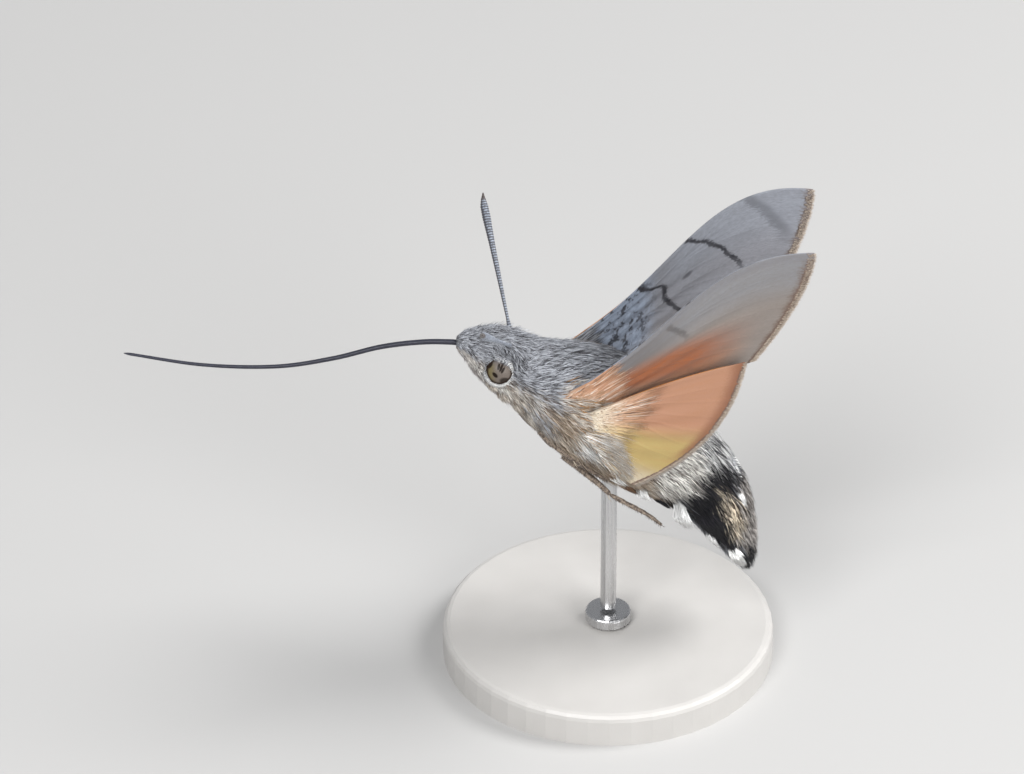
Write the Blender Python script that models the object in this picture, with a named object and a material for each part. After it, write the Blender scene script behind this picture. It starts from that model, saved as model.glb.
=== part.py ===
# Hummingbird hawk moth, hovering with its wings raised, on a plain display stand.
# Metres, Z up. The moth faces -X, its left side is -Y and its mid-plane is Y = 0.
# The origin is the centre of the stand base's underside.

import math
import random

import bmesh
import bpy
from mathutils import Matrix, Vector

MM = 0.001
GAP = 0.3 * MM             # clearance between neighbouring pieces
SEAM = 0.2 * MM            # half the gap where the bending body is parted
SHARP_ANGLE = math.radians(50)

# Stand
BASE_RADIUS = 11.5 * MM
BASE_HEIGHT = 2.4 * MM
BASE_EDGE = 0.5 * MM       # rounding of the base's top edge
COLLAR_RADIUS = 1.6 * MM
COLLAR_HEIGHT = 0.7 * MM
COLLAR_EDGE = 0.2 * MM
ROD_RADIUS = 0.55 * MM

# The middle of the thorax above the stand, set so that the tail clears the base.
THORAX_X = -1.9 * MM
THORAX_Z = 21.6 * MM

# Centreline and size of the body with its coat, from snout to tail, in mm from the middle
# of the thorax: x, z, half width, half height.
BODY_STATIONS = [
    (-8.70, 4.10, 0.45, 0.45),
    (-8.15, 4.05, 0.95, 0.90),
    (-7.45, 3.82, 1.50, 1.40),
    (-6.60, 3.38, 2.05, 2.00),
    (-5.55, 2.72, 2.40, 2.40),
    (-4.20, 1.75, 2.65, 2.62),
    (-2.52, 0.86, 3.30, 3.08),
    (-0.72, -0.03, 4.00, 3.74),
    (1.08, -1.16, 4.30, 4.02),
    (2.95, -2.62, 4.15, 4.00),
    (5.00, -4.20, 3.80, 3.60),
    (7.00, -5.80, 3.50, 3.10),
    (8.40, -7.30, 3.30, 2.75),
    (9.45, -8.90, 3.10, 2.35),
    (10.15, -10.30, 2.90, 1.92),
    (10.80, -11.75, 2.50, 1.42),
    (11.40, -13.30, 1.90, 0.85),
    (11.80, -14.40, 1.00, 0.45),
]

# Distances along the centreline where the body is parted
NECK_AT = 4.9 * MM
WAIST_AT = 13.6 * MM
TAIL_AT = 22.6 * MM

# Head
EYE_RADIUS = 1.15 * MM
EYE_AT = (-5.62, 1.45, 2.78)       # mm from the thorax; the y value is the left eye's, mirrored
PALP_ROOT = (-5.95, 0.86, 1.02)
PALP_TIP = (-7.90, 0.70, 3.32)
PALP_ROOT_RADIUS = 0.68 * MM
PALP_TIP_RADIUS = 0.50 * MM

PROBOSCIS_ROUTE = [(-9.05, 4.12), (-11.1, 4.10), (-13.8, 3.70), (-17.1, 2.75),
                   (-21.0, 2.10), (-26.0, 2.25), (-31.3, 3.20)]
PROBOSCIS_RADIUS = 0.27 * MM
PROBOSCIS_TIP_RADIUS = 0.17 * MM

ANTENNA_AT = 2.75 * MM             # distance of the roots along the centreline
ANTENNA_AROUND = 36.0              # degrees from the crown
ANTENNA_LENGTH = 9.7 * MM
ANTENNA_WAY = (-0.194, 0.775, 0.600)
ANTENNA_RADIUS = 0.25 * MM
ANTENNA_CLUB_RADIUS = 0.33 * MM
ANTENNA_HOOK = 0.35 * MM

# Wings
WING_THICKNESS = 0.50 * MM
VEIN_HEIGHT = 0.09 * MM            # how far a vein stands above the membrane
FOREWING_LENGTH = 20.9 * MM
FOREWING_ROOT_EDGE = ((-2.0, -0.75), (-2.0, 2.1))   # ends of the root, sunk in the thorax
FOREWING_COSTA_BULGE = 2.5 * MM
FOREWING_COSTA_SKEW = 2.2          # above 1 the bulge lies nearer the apex
FOREWING_MARGIN_BULGE = 0.3 * MM
FOREWING_REAR_BULGE = -0.35 * MM
FOREWING_TORNUS = (10.6, 5.2)      # mm along the span and across it
FOREWING_ROOT = (0.35, 3.05, 2.05)   # mm from the thorax, mirrored for the left side
FOREWING_RISE = 40.0               # degrees of the span above level
FOREWING_CAMBER = 0.35 * MM
LEFT_LEAN = -8.5                   # degrees that each wing leans over the back; the moth
RIGHT_LEAN = 4.5                   # swings both wings a little towards its left
FEATHER = 12.0                     # degrees that the trailing edges turn towards the back
HINDWING_ROOT = (1.95, 4.10, 0.55)
HINDWING_APEX = (9.3, 4.9)         # mm behind and above the root
HINDWING_ANAL = (1.5, -5.1)
HINDWING_ROOT_EDGE = ((-1.2, 0.35), (-1.3, -1.0))
HINDWING_FRONT_BULGE = 0.4 * MM
HINDWING_REAR_BULGE = -0.5 * MM
HINDWING_MARGIN_BULGE = 1.7 * MM
HINDWING_FLARE = 0.75 * MM         # how far the lower edge stands out beside the abdomen
HINDWING_CAMBER = 0.25 * MM
WING_STEP = 1.10 * MM              # between the middles of the forewing and the hindwing

# Legs: distance along the centreline (mm), degrees from the belly line, height of the
# leg's axis over the coat (mm), for the root, knee, ankle and tip.
LEG_RADII = {"femur": 0.36 * MM, "tibia": 0.30 * MM, "ankle": 0.29 * MM, "tip": 0.20 * MM}
HIP_RISE = 0.55                    # how far the hip stands over the root
LEG_ROUTES = {
    "foreleg": [(7.6, 13, 0.33), (6.2, 19, 0.72), (8.2, 11, 0.66), (9.6, 9, 0.62)],
    "midleg": [(9.5, 30, 0.33), (7.6, 38, 0.70), (11.4, 42, 0.66), (14.4, 42, 0.62)],
    "hindleg": [(12.5, 26, 0.33), (10.9, 21, 0.68), (15.6, 23, 1.25), (20.9, 28, 1.45)],
}

# Flat tapered locks of the flanks and of the tail fan. They run over the coat from a sunk
# root to a tip, and the body under them is drawn in by the core's share.
LOCK_THICKNESS = 0.46 * MM
LOCK_SINK = 0.75 * MM
FLANK_TUFTS_AT = (14.5, 16.3, 18.1, 19.85)   # mm along the centreline, one for each segment
FLANK_AROUND = 115.0               # degrees from the back
FLANK_SPREAD = 17.0                # degrees between the three locks of a tuft
FLANK_LENGTH = 2.35 * MM
FLANK_WIDTH = 1.35 * MM
FLANK_LIFT = 0.70 * MM
FAN_START = 0.94                   # share of the coat's outline that the core fills
FAN_CORE = 0.60                    # and at its rear end
FAN_BEYOND = 0.8 * MM              # how far the tips pass the core
FAN_TIERS = [                      # distance along the centreline, locks, length in mm, width
    (22.95, 10, 3.1, 1.85),
    (24.3, 9, 3.1, 1.75),
    (25.6, 7, 2.9, 1.60),
]
FAN_LIFT = 0.14 * MM


def material(name, colour, roughness, metallic=0.0):
    made = bpy.data.materials.new(name)
    made.use_nodes = True
    shader = made.node_tree.nodes["Principled BSDF"]
    shader.inputs["Base Color"].default_value = (*colour, 1.0)
    shader.inputs["Roughness"].default_value = roughness
    shader.inputs["Metallic"].default_value = metallic
    return made


def place(x, y, z):
    """A point given in millimetres from the middle of the thorax."""
    return Vector((THORAX_X + x * MM, y * MM, THORAX_Z + z * MM))


def shade(mesh):
    mesh.shade_smooth()
    mesh.set_sharp_from_angle(angle=SHARP_ANGLE)


def add_object(name, bm, made):
    bmesh.ops.recalc_face_normals(bm, faces=bm.faces)
    mesh = bpy.data.meshes.new(name)
    bm.to_mesh(mesh)
    bm.free()
    shade(mesh)
    made_object = bpy.data.objects.new(name, mesh)
    bpy.context.scene.collection.objects.link(made_object)
    if made:
        mesh.materials.append(made)
    return made_object


def loft(rings):
    """A closed body through rings of equal length, with flat ends."""
    bm = bmesh.new()
    rows = [[bm.verts.new(point) for point in ring] for ring in rings]
    count = len(rows[0])
    for near, far in zip(rows, rows[1:]):
        for i in range(count):
            j = (i + 1) % count
            bm.faces.new((near[i], near[j], far[j], far[i]))
    bm.faces.new(rows[0])
    bm.faces.new(rows[-1])
    return bm


def smooth_through(values, t):
    """A smooth curve through a list of equal-length tuples, at t from 0 to its last index."""
    last = len(values) - 1
    i = min(int(t), last - 1)
    f = t - i
    before, here = values[max(i - 1, 0)], values[i]
    there, after = values[i + 1], values[min(i + 2, last)]
    return [0.5 * (2 * b + (c - a) * f + (2 * a - 5 * b + 4 * c - d) * f * f
                   + (3 * b - a - 3 * c + d) * f * f * f)
            for a, b, c, d in zip(before, here, there, after)]


class Centreline:
    """The body's centreline, read by distance from the snout."""

    def __init__(self, stations, steps=24):
        self.samples = [smooth_through(stations, i / steps)
                        for i in range((len(stations) - 1) * steps + 1)]
        self.distances = [0.0]
        for here, there in zip(self.samples, self.samples[1:]):
            step = math.hypot(there[0] - here[0], there[1] - here[1]) * MM
            self.distances.append(self.distances[-1] + step)
        self.length = self.distances[-1]

    def values(self, distance):
        distance = min(max(distance, 0.0), self.length)
        i = 0
        while i < len(self.distances) - 2 and self.distances[i + 1] < distance:
            i += 1
        span = self.distances[i + 1] - self.distances[i]
        f = (distance - self.distances[i]) / span
        return [a + (b - a) * f for a, b in zip(self.samples[i], self.samples[i + 1])]

    def frame(self, distance):
        """Centre, direction towards the tail, and upward normal."""
        reach = 0.3 * MM
        x, z, half_width, half_height = self.values(distance)
        before, after = self.values(distance - reach), self.values(distance + reach)
        along = Vector((after[0] - before[0], 0.0, after[1] - before[1])).normalized()
        up = Vector((-along.z, 0.0, along.x))
        return place(x, 0.0, z), along, up, half_width * MM, half_height * MM

    def point(self, distance, around, out=0.0):
        """A point over the coat; around is in degrees from the back, left side negative."""
        centre, _, up, half_width, half_height = self.frame(distance)
        angle = math.radians(around)
        side = Vector((0.0, 1.0, 0.0))
        flat = side * half_width * math.sin(angle) + up * half_height * math.cos(angle)
        way = side * half_height * math.sin(angle) + up * half_width * math.cos(angle)
        return centre + flat + way.normalized() * out

    def ring(self, distance, sides, out=0.0, scale=1.0):
        centre = self.frame(distance)[0]
        return [centre + (self.point(distance, 360.0 * i / sides, out) - centre) * scale
                for i in range(sides)]

    def body(self, start, end, sides, spacing, out=0.0, start_scale=1.0, end_scale=1.0):
        count = max(2, round((end - start) / spacing))
        rings = []
        for i in range(count + 1):
            f = i / count
            scale = start_scale + (end_scale - start_scale) * f
            rings.append(self.ring(start + (end - start) * f, sides, out, scale))
        return loft(rings)


def sweep(points, radii, sides, flatten=1.0, flat_way=None):
    """A tapered tube; flatten below 1 thins it along flat_way."""
    rings = []
    side = None
    for i, point in enumerate(points):
        before, after = points[max(i - 1, 0)], points[min(i + 1, len(points) - 1)]
        along = (after - before).normalized()
        if flat_way is not None:
            side = flat_way
        elif side is None:
            side = along.orthogonal()
        side = (side - along * side.dot(along)).normalized()
        other = along.cross(side)
        turns = [2.0 * math.pi * k / sides for k in range(sides)]
        rings.append([point + side * radii[i] * flatten * math.cos(a)
                      + other * radii[i] * math.sin(a) for a in turns])
    return loft(rings)


def capsule(start, end, start_radius, end_radius, sides, rings=3):
    """A tapered rod with round ends, the radii reached inside its two end points."""
    along = (end - start).normalized()
    length = (end - start).length
    points, radii = [], []
    for i in range(rings):
        turn = 0.5 * math.pi * (i + 0.35) / rings
        points.append(start - along * start_radius * math.cos(turn))
        radii.append(start_radius * math.sin(turn))
    for i in range(4):
        points.append(start + along * length * i / 3)
        radii.append(start_radius + (end_radius - start_radius) * i / 3)
    for i in reversed(range(rings)):
        turn = 0.5 * math.pi * (i + 0.35) / rings
        points.append(end + along * end_radius * math.cos(turn))
        radii.append(end_radius * math.sin(turn))
    return sweep(points, radii, sides)


def largest_body(target):
    """Keep the largest closed surface of a mesh."""
    bm = bmesh.new()
    bm.from_mesh(target.data)
    left = set(bm.verts)
    bodies = []
    while left:
        start = left.pop()
        group, edge = {start}, [start]
        while edge:
            here = edge.pop()
            for link in here.link_edges:
                other = link.other_vert(here)
                if other in left:
                    left.remove(other)
                    group.add(other)
                    edge.append(other)
        bodies.append(group)
    bodies.sort(key=len)
    scraps = [vertex for group in bodies[:-1] for vertex in group]
    bmesh.ops.delete(bm, geom=scraps, context="VERTS")
    bm.to_mesh(target.data)
    bm.free()


def apply_boolean(target, operation, others):
    """Join the others to the target or cut them from it, and remove them."""
    tools = bpy.data.collections.new("tools")
    for other in others:
        tools.objects.link(other)
    modifier = target.modifiers.new("join", "BOOLEAN")
    modifier.operation = operation
    modifier.operand_type = "COLLECTION"
    modifier.collection = tools
    modifier.solver = "EXACT"
    modifier.use_self = operation == "UNION"
    with bpy.context.temp_override(object=target, active_object=target):
        bpy.ops.object.modifier_apply(modifier=modifier.name)
    for other in others:
        bpy.data.objects.remove(other, do_unlink=True)
    bpy.data.collections.remove(tools)
    largest_body(target)
    shade(target.data)


def mirrored(name, source):
    """A copy of a piece on the other side of the mid-plane."""
    mesh = source.data.copy()
    mesh.transform(Matrix.Scale(-1.0, 4, (0.0, 1.0, 0.0)))
    mesh.flip_normals()
    copy = bpy.data.objects.new(name, mesh)
    bpy.context.scene.collection.objects.link(copy)


def clear_body(line):
    """The body grown by the gap, as a cutter for what rests against it."""
    bm = line.body(NECK_AT * 0.5, line.length, 48, 0.5 * MM, GAP)
    return add_object("clear_body", bm, None)


# Head, eyes, palps, proboscis and antennae

def eye_form(name, side, out, made=None):
    x, y, z = EYE_AT
    bm = bmesh.new()
    bmesh.ops.create_icosphere(bm, subdivisions=3, radius=EYE_RADIUS + out,
                               matrix=Matrix.Translation(place(x, side * y, z)))
    return add_object(name, bm, made)


def palp_form(side, out, sides):
    root = place(PALP_ROOT[0], side * PALP_ROOT[1], PALP_ROOT[2])
    tip = place(PALP_TIP[0], side * PALP_TIP[1], PALP_TIP[2])
    return capsule(root, tip, PALP_ROOT_RADIUS + out, PALP_TIP_RADIUS + out, sides)


def build_head(line):
    coat = material("head coat", (0.36, 0.33, 0.29), 0.85)
    head = add_object("head", line.body(0.0, NECK_AT - SEAM, 26, 0.40 * MM), coat)
    cutters = []
    for side in (-1, 1):
        cutters.append(eye_form("socket", side, GAP))
        cutters.append(add_object("palp_seat", palp_form(side, GAP, 16), None))
    apply_boolean(head, "DIFFERENCE", cutters)


def build_face():
    glassy = material("eye", (0.13, 0.10, 0.06), 0.25)
    scales = material("palp scales", (0.62, 0.57, 0.50), 0.85)
    for side, word in ((-1, "left"), (1, "right")):
        eye_form("eye_" + word, side, 0.0, glassy)
        palp = add_object("palp_" + word, palp_form(side, 0.0, 14), scales)
        apply_boolean(palp, "DIFFERENCE", [eye_form("socket", side, GAP)])


def build_proboscis():
    horn = material("proboscis", (0.03, 0.03, 0.04), 0.3)
    spans, per_span = len(PROBOSCIS_ROUTE) - 1, 5
    points, radii = [], []
    for i in range(spans * per_span + 1):
        x, z = smooth_through(PROBOSCIS_ROUTE, i / per_span)
        f = i / (spans * per_span)
        points.append(place(x, 0.0, z))
        radii.append(PROBOSCIS_RADIUS + (PROBOSCIS_TIP_RADIUS - PROBOSCIS_RADIUS) * f ** 3)
    add_object("proboscis", sweep(points, radii, 8), horn)


def antenna_radius(f):
    """Slender at the root, a club before the tip and a fine point."""
    club = ANTENNA_RADIUS + (ANTENNA_CLUB_RADIUS - ANTENNA_RADIUS) * math.sin(math.pi * f ** 1.6)
    return club * (1.0 if f < 0.82 else max(0.3, 1.0 - (f - 0.82) / 0.2))


def build_antennae(line):
    ringed = material("antenna", (0.10, 0.11, 0.14), 0.5)
    steps = 22
    way = Vector(ANTENNA_WAY).normalized()
    root = line.point(ANTENNA_AT, ANTENNA_AROUND, GAP + ANTENNA_RADIUS / 3)
    back = Vector((1.0, 0.0, 0.0))
    points, radii = [], []
    for i in range(steps + 1):
        f = i / steps
        hook = back * (-ANTENNA_HOOK) * max(0.0, (f - 0.86) / 0.14) ** 2
        points.append(root + way * ANTENNA_LENGTH * f + hook)
        radii.append(antenna_radius(f))
    right = add_object("antenna_right", sweep(points, radii, 8), ringed)
    mirrored("antenna_left", right)


# Thorax, abdomen with its flank tufts, and tail fan

def lock(line, start, length, around, width, sink, lift):
    """A flat tapered lock that lies back over the coat from a sunk root to its tip."""
    points, radii = [], []
    steps = 5
    for i in range(steps + 1):
        f = i / steps
        rise = -sink + (sink + lift) * min(1.0, 1.25 * f)
        points.append(line.point(start + length * f, around, rise - LOCK_THICKNESS / 2))
        radii.append(0.5 * width * (0.75 + 0.25 * math.sin(math.pi * f)) * (1.0 - 0.62 * f ** 2.2))
    middle = start + length / 2
    out = line.point(middle, around, 1.0 * MM) - line.point(middle, around)
    return sweep(points, radii, 6, LOCK_THICKNESS / width, out.normalized())


def build_thorax(line):
    coat = material("thorax coat", (0.38, 0.35, 0.31), 0.85)
    bm = line.body(NECK_AT + SEAM, WAIST_AT - SEAM, 32, 0.62 * MM)
    add_object("thorax", bm, coat)


def build_abdomen(line):
    coat = material("abdomen coat", (0.45, 0.40, 0.34), 0.85)
    bm = line.body(WAIST_AT + SEAM, TAIL_AT - SEAM, 32, 0.62 * MM)
    abdomen = add_object("abdomen", bm, coat)
    rng = random.Random(11)
    locks = []
    for distance in FLANK_TUFTS_AT:
        for side in (-1, 1):
            for k in (-1, 0, 1):
                around = side * (FLANK_AROUND + FLANK_SPREAD * k + rng.uniform(-3.0, 3.0))
                length = FLANK_LENGTH * rng.uniform(0.88, 1.08)
                shape = lock(line, distance * MM, length, around, FLANK_WIDTH, LOCK_SINK,
                             FLANK_LIFT * rng.uniform(0.7, 1.2))
                locks.append(add_object("lock", shape, None))
    apply_boolean(abdomen, "UNION", locks)


def build_tail_fan(line):
    hair = material("tail hair", (0.06, 0.05, 0.05), 0.8)
    bm = line.body(TAIL_AT + SEAM, line.length - FAN_BEYOND, 24, 0.6 * MM, 0.0, FAN_START, FAN_CORE)
    fan = add_object("tail_fan", bm, hair)
    rng = random.Random(23)
    locks = []
    for distance, count, length, width in FAN_TIERS:
        for i in range(count):
            around = 360.0 * (i + 0.5) / count + rng.uniform(-5.0, 5.0)
            reach = length * MM * rng.uniform(0.9, 1.06)
            shape = lock(line, distance * MM, reach, around, width * MM, LOCK_SINK, FAN_LIFT)
            locks.append(add_object("lock", shape, None))
    apply_boolean(fan, "UNION", locks)


# Wings

def bulged(start, end, bulge, skew, f):
    """A point on a bowed line; a positive bulge bows it to the left of the way it runs."""
    start, end = Vector(start), Vector(end)
    run = end - start
    left = Vector((-run.y, run.x)).normalized()
    g = f ** skew
    return start + run * f + left * bulge / MM * 4.0 * g * (1.0 - g)


def patch(front, rear, root, margin, u, v):
    """A surface between four bowed lines, u from front to rear and v from root to margin."""
    corners = ((1 - u) * (1 - v) * root(0.0) + u * (1 - v) * root(1.0)
               + (1 - u) * v * margin(0.0) + u * v * margin(1.0))
    return (1 - u) * front(v) + u * rear(v) + (1 - v) * root(u) + v * margin(u) - corners


def forewing_plan(u, v):
    """Distances along the span and across it, in mm; the leading edge is at u = 0."""
    first, last = FOREWING_ROOT_EDGE
    apex, tornus = (FOREWING_LENGTH / MM, 0.0), FOREWING_TORNUS
    return patch(lambda f: bulged(first, apex, -FOREWING_COSTA_BULGE, FOREWING_COSTA_SKEW, f),
                 lambda f: bulged(last, tornus, FOREWING_REAR_BULGE, 1.0, f),
                 lambda f: bulged(first, last, 0.0, 1.0, f),
                 lambda f: bulged(apex, tornus, -FOREWING_MARGIN_BULGE, 1.0, f), u, v)


def wing_lean(side):
    return math.radians(LEFT_LEAN if side < 0 else RIGHT_LEAN)


def forewing_place(span, chord, side):
    """A point of the forewing's plane; the span rises from the root and leans sideways."""
    lean = wing_lean(side)
    rise = math.radians(FOREWING_RISE)
    feather = math.radians(FEATHER)
    across = FOREWING_ROOT[1] - math.sin(lean) * span - math.sin(feather) * chord
    span *= math.cos(lean)
    chord *= math.cos(feather)
    x = FOREWING_ROOT[0] + math.cos(rise) * span + math.sin(rise) * chord
    z = FOREWING_ROOT[2] + math.sin(rise) * span - math.cos(rise) * chord
    return place(x, side * across, z)


def camber(u, v, height, side):
    bow = math.sin(math.pi * u) * math.sin(math.pi * v)
    return Vector((0.0, side * height * bow, 0.0))


def forewing_point(u, v, side):
    span, chord = forewing_plan(u, v)
    return forewing_place(span, chord, side) + camber(u, v, FOREWING_CAMBER, side)


def hindwing_plan(u, v):
    """Distances behind the root and above it, in mm; the leading edge is at u = 0."""
    first, last = HINDWING_ROOT_EDGE
    apex, anal = HINDWING_APEX, HINDWING_ANAL
    return patch(lambda f: bulged(first, apex, HINDWING_FRONT_BULGE, 1.0, f),
                 lambda f: bulged(last, anal, HINDWING_REAR_BULGE, 1.0, f),
                 lambda f: bulged(first, last, 0.0, 1.0, f),
                 lambda f: bulged(apex, anal, HINDWING_MARGIN_BULGE, 1.0, f), u, v)


def hindwing_point(u, v, side):
    back, up = hindwing_plan(u, v)
    tornus = abs(forewing_place(*FOREWING_TORNUS, side).y) / MM
    front = HINDWING_ROOT[1] + (tornus + WING_STEP / MM - HINDWING_ROOT[1]) * v
    lower = HINDWING_ROOT[1] + HINDWING_FLARE / MM * min(1.0, v * 1.6)
    across = front * (1.0 - u) + lower * u
    point = place(HINDWING_ROOT[0] + back, side * across, HINDWING_ROOT[2] + up)
    return point + camber(u, v, HINDWING_CAMBER, side)


def wing_body(surface, side, across, along, vein_every):
    """A membrane with the same triangles on both faces, its veins raised as ridges."""
    bm = bmesh.new()
    step = 0.02
    faces = ([], [])
    for i in range(across + 1):
        u = i / across
        rows = ([], [])
        for j in range(along + 1):
            v = j / along
            point = surface(u, v, side)
            run_u = (surface(min(1.0, u + step), v, side)
                     - surface(max(0.0, u - step), v, side))
            run_v = (surface(u, min(1.0, v + step), side)
                     - surface(u, max(0.0, v - step), side))
            normal = run_u.cross(run_v).normalized()
            ridge = VEIN_HEIGHT * (1.0 - v ** 3) if i % vein_every == 0 else 0.0
            half = 0.5 * WING_THICKNESS + ridge
            rows[0].append(bm.verts.new(point + normal * half))
            rows[1].append(bm.verts.new(point - normal * half))
        faces[0].append(rows[0])
        faces[1].append(rows[1])
    for grid in faces:
        for i in range(across):
            for j in range(along):
                a, b = grid[i][j], grid[i + 1][j]
                c, d = grid[i + 1][j + 1], grid[i][j + 1]
                bm.faces.new((a, b, c))
                bm.faces.new((a, c, d))
    top, bottom = faces
    last_u, last_v = across, along
    rim = ([(i, 0) for i in range(last_u)] + [(last_u, j) for j in range(last_v)]
           + [(i, last_v) for i in range(last_u, 0, -1)] + [(0, j) for j in range(last_v, 0, -1)])
    for (i, j), (k, m) in zip(rim, rim[1:] + rim[:1]):
        bm.faces.new((top[i][j], top[k][m], bottom[k][m]))
        bm.faces.new((top[i][j], bottom[k][m], bottom[i][j]))
    return bm


def build_wings(line):
    grey = material("forewing scales", (0.33, 0.31, 0.29), 0.7)
    orange = material("hindwing scales", (0.62, 0.30, 0.10), 0.7)
    for side, word in ((-1, "left"), (1, "right")):
        fore = add_object("forewing_" + word, wing_body(forewing_point, side, 18, 14, 3), grey)
        apply_boolean(fore, "DIFFERENCE", [clear_body(line)])
        hind = add_object("hindwing_" + word, wing_body(hindwing_point, side, 15, 10, 3), orange)
        apply_boolean(hind, "DIFFERENCE", [clear_body(line)])


# Legs

def leg_point(line, side, place_on_body):
    along, around, out = place_on_body
    return line.point(along * MM, side * (180.0 - around), out * MM)


def leg_part(line, side, start, end, radius, end_radius, steps):
    """One length of a leg, following the belly between two places on it."""
    points, radii = [], []
    for i in range(steps + 1):
        f = i / steps
        spot = [a + (b - a) * f for a, b in zip(start, end)]
        points.append(leg_point(line, side, spot))
        radii.append(radius + (end_radius - radius) * f)
    first = (points[0] - points[1]).normalized()
    last = (points[-1] - points[-2]).normalized()
    points = [points[0] + first * radius * 0.5] + points + [points[-1] + last * end_radius * 0.5]
    radii = [radius * 0.7] + radii + [end_radius * 0.7]
    return sweep(points, radii, 7)


def build_legs(line):
    horny = material("leg", (0.20, 0.15, 0.11), 0.6)
    femur, tibia = LEG_RADII["femur"], LEG_RADII["tibia"]
    ankle_radius, tip_radius = LEG_RADII["ankle"], LEG_RADII["tip"]
    for name, (root, knee, ankle, tip) in LEG_ROUTES.items():
        standing = (root[0], root[1], root[2] + HIP_RISE)
        for side, word in ((-1, "left"), (1, "right")):
            seat = leg_point(line, side, root)
            hip = leg_point(line, side, standing)
            coxa = sweep([seat, (seat + hip) / 2, hip], [femur, femur, femur], 7)
            leg = add_object(name + "_" + word, coxa, horny)
            parts = [leg_part(line, side, standing, knee, femur, tibia, 2),
                     leg_part(line, side, knee, ankle, tibia, ankle_radius, 4),
                     leg_part(line, side, ankle, tip, ankle_radius, tip_radius, 4)]
            apply_boolean(leg, "UNION", [add_object("length", bm, None) for bm in parts])


# Display stand

def turned(profile, sides):
    """A solid of revolution about the Z axis from (radius, height) pairs, flat at both ends."""
    rings = []
    for radius, height in profile:
        turns = [2.0 * math.pi * i / sides for i in range(sides)]
        rings.append([Vector((radius * math.cos(a), radius * math.sin(a), height))
                      for a in turns])
    return loft(rings)


def rounded_disc(radius, low, high, edge):
    """The outline of a flat disc whose top edge is rounded."""
    turns = [math.pi / 2 * i / 3 for i in range(4)]
    return [(radius, low)] + [(radius - edge * (1.0 - math.cos(a)), high - edge * (1.0 - math.sin(a)))
                              for a in turns]


def build_stand(line):
    paint = material("stand paint", (0.62, 0.60, 0.57), 0.5)
    steel = material("stand steel", (0.55, 0.55, 0.56), 0.3, 1.0)
    add_object("stand_base", turned(rounded_disc(BASE_RADIUS, 0.0, BASE_HEIGHT, BASE_EDGE), 48),
               paint)
    seat = BASE_HEIGHT + GAP
    collar = rounded_disc(COLLAR_RADIUS, seat, seat + COLLAR_HEIGHT, COLLAR_EDGE)
    add_object("stand_collar", turned(collar, 24), steel)
    foot = seat + COLLAR_HEIGHT + GAP
    rod = add_object("stand_rod", turned([(ROD_RADIUS, foot), (ROD_RADIUS, THORAX_Z)], 16), steel)
    apply_boolean(rod, "DIFFERENCE", [clear_body(line)])


def main():
    for old in list(bpy.data.objects):
        bpy.data.objects.remove(old, do_unlink=True)
    line = Centreline(BODY_STATIONS)
    build_head(line)
    build_face()
    build_proboscis()
    build_antennae(line)
    build_thorax(line)
    build_abdomen(line)
    build_tail_fan(line)
    build_wings(line)
    build_legs(line)
    build_stand(line)


main()
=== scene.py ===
# A life-size hummingbird hawk moth on a plain display stand: one skin with its coat of tufts,
# scaled wings, eyes, feelers, tongue and legs, all built in millimetres round the thorax.

import math

import bpy
import numpy as np
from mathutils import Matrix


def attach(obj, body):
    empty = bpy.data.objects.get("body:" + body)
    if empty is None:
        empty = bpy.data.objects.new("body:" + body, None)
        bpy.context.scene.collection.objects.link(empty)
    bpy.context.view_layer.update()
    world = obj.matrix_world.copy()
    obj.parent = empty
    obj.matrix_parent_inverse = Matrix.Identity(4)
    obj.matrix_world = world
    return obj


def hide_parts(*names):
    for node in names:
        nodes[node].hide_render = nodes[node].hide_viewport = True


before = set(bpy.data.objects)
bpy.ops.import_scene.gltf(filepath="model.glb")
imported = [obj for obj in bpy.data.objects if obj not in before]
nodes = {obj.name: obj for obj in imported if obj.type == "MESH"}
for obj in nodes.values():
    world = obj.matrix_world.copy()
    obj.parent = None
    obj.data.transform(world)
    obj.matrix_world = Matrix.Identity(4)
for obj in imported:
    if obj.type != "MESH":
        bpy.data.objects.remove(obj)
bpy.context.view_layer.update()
mm = 0.001
thoraxPlace = np.array([-1.9, 0.0, 21.6])   # middle of the thorax in the part's frame, mm
sideNames = {-1: "left", 1: "right"}
print("frame loaded:", len(nodes), "nodes")


# Meshes from arrays

def makeMesh(name, points, corners, sizes, maps, finish):
    # points in mm from the middle of the thorax; corners and maps follow the faces' corners
    mesh = bpy.data.meshes.new(name)
    mesh.vertices.add(len(points))
    mesh.vertices.foreach_set("co", ((points + thoraxPlace) * mm).astype(np.float32).ravel())
    mesh.loops.add(len(corners))
    mesh.loops.foreach_set("vertex_index", corners.astype(np.int32))
    mesh.polygons.add(len(sizes))
    starts = np.concatenate([[0], np.cumsum(sizes)[:-1]]).astype(np.int32)
    mesh.polygons.foreach_set("loop_start", starts)
    mesh.polygons.foreach_set("use_smooth", np.ones(len(sizes), bool))
    for mapName, values in maps.items():
        layer = mesh.uv_layers.new(name=mapName)
        layer.uv.foreach_set("vector", values.astype(np.float32).ravel())
    mesh.update(calc_edges=True)
    if finish:
        mesh.materials.append(finish)
    piece = bpy.data.objects.new(name, mesh)
    bpy.context.scene.collection.objects.link(piece)
    return piece


def place(piece, slot, *replaced):
    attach(piece, "root")
    if replaced:
        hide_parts(*replaced)
    return piece


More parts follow.
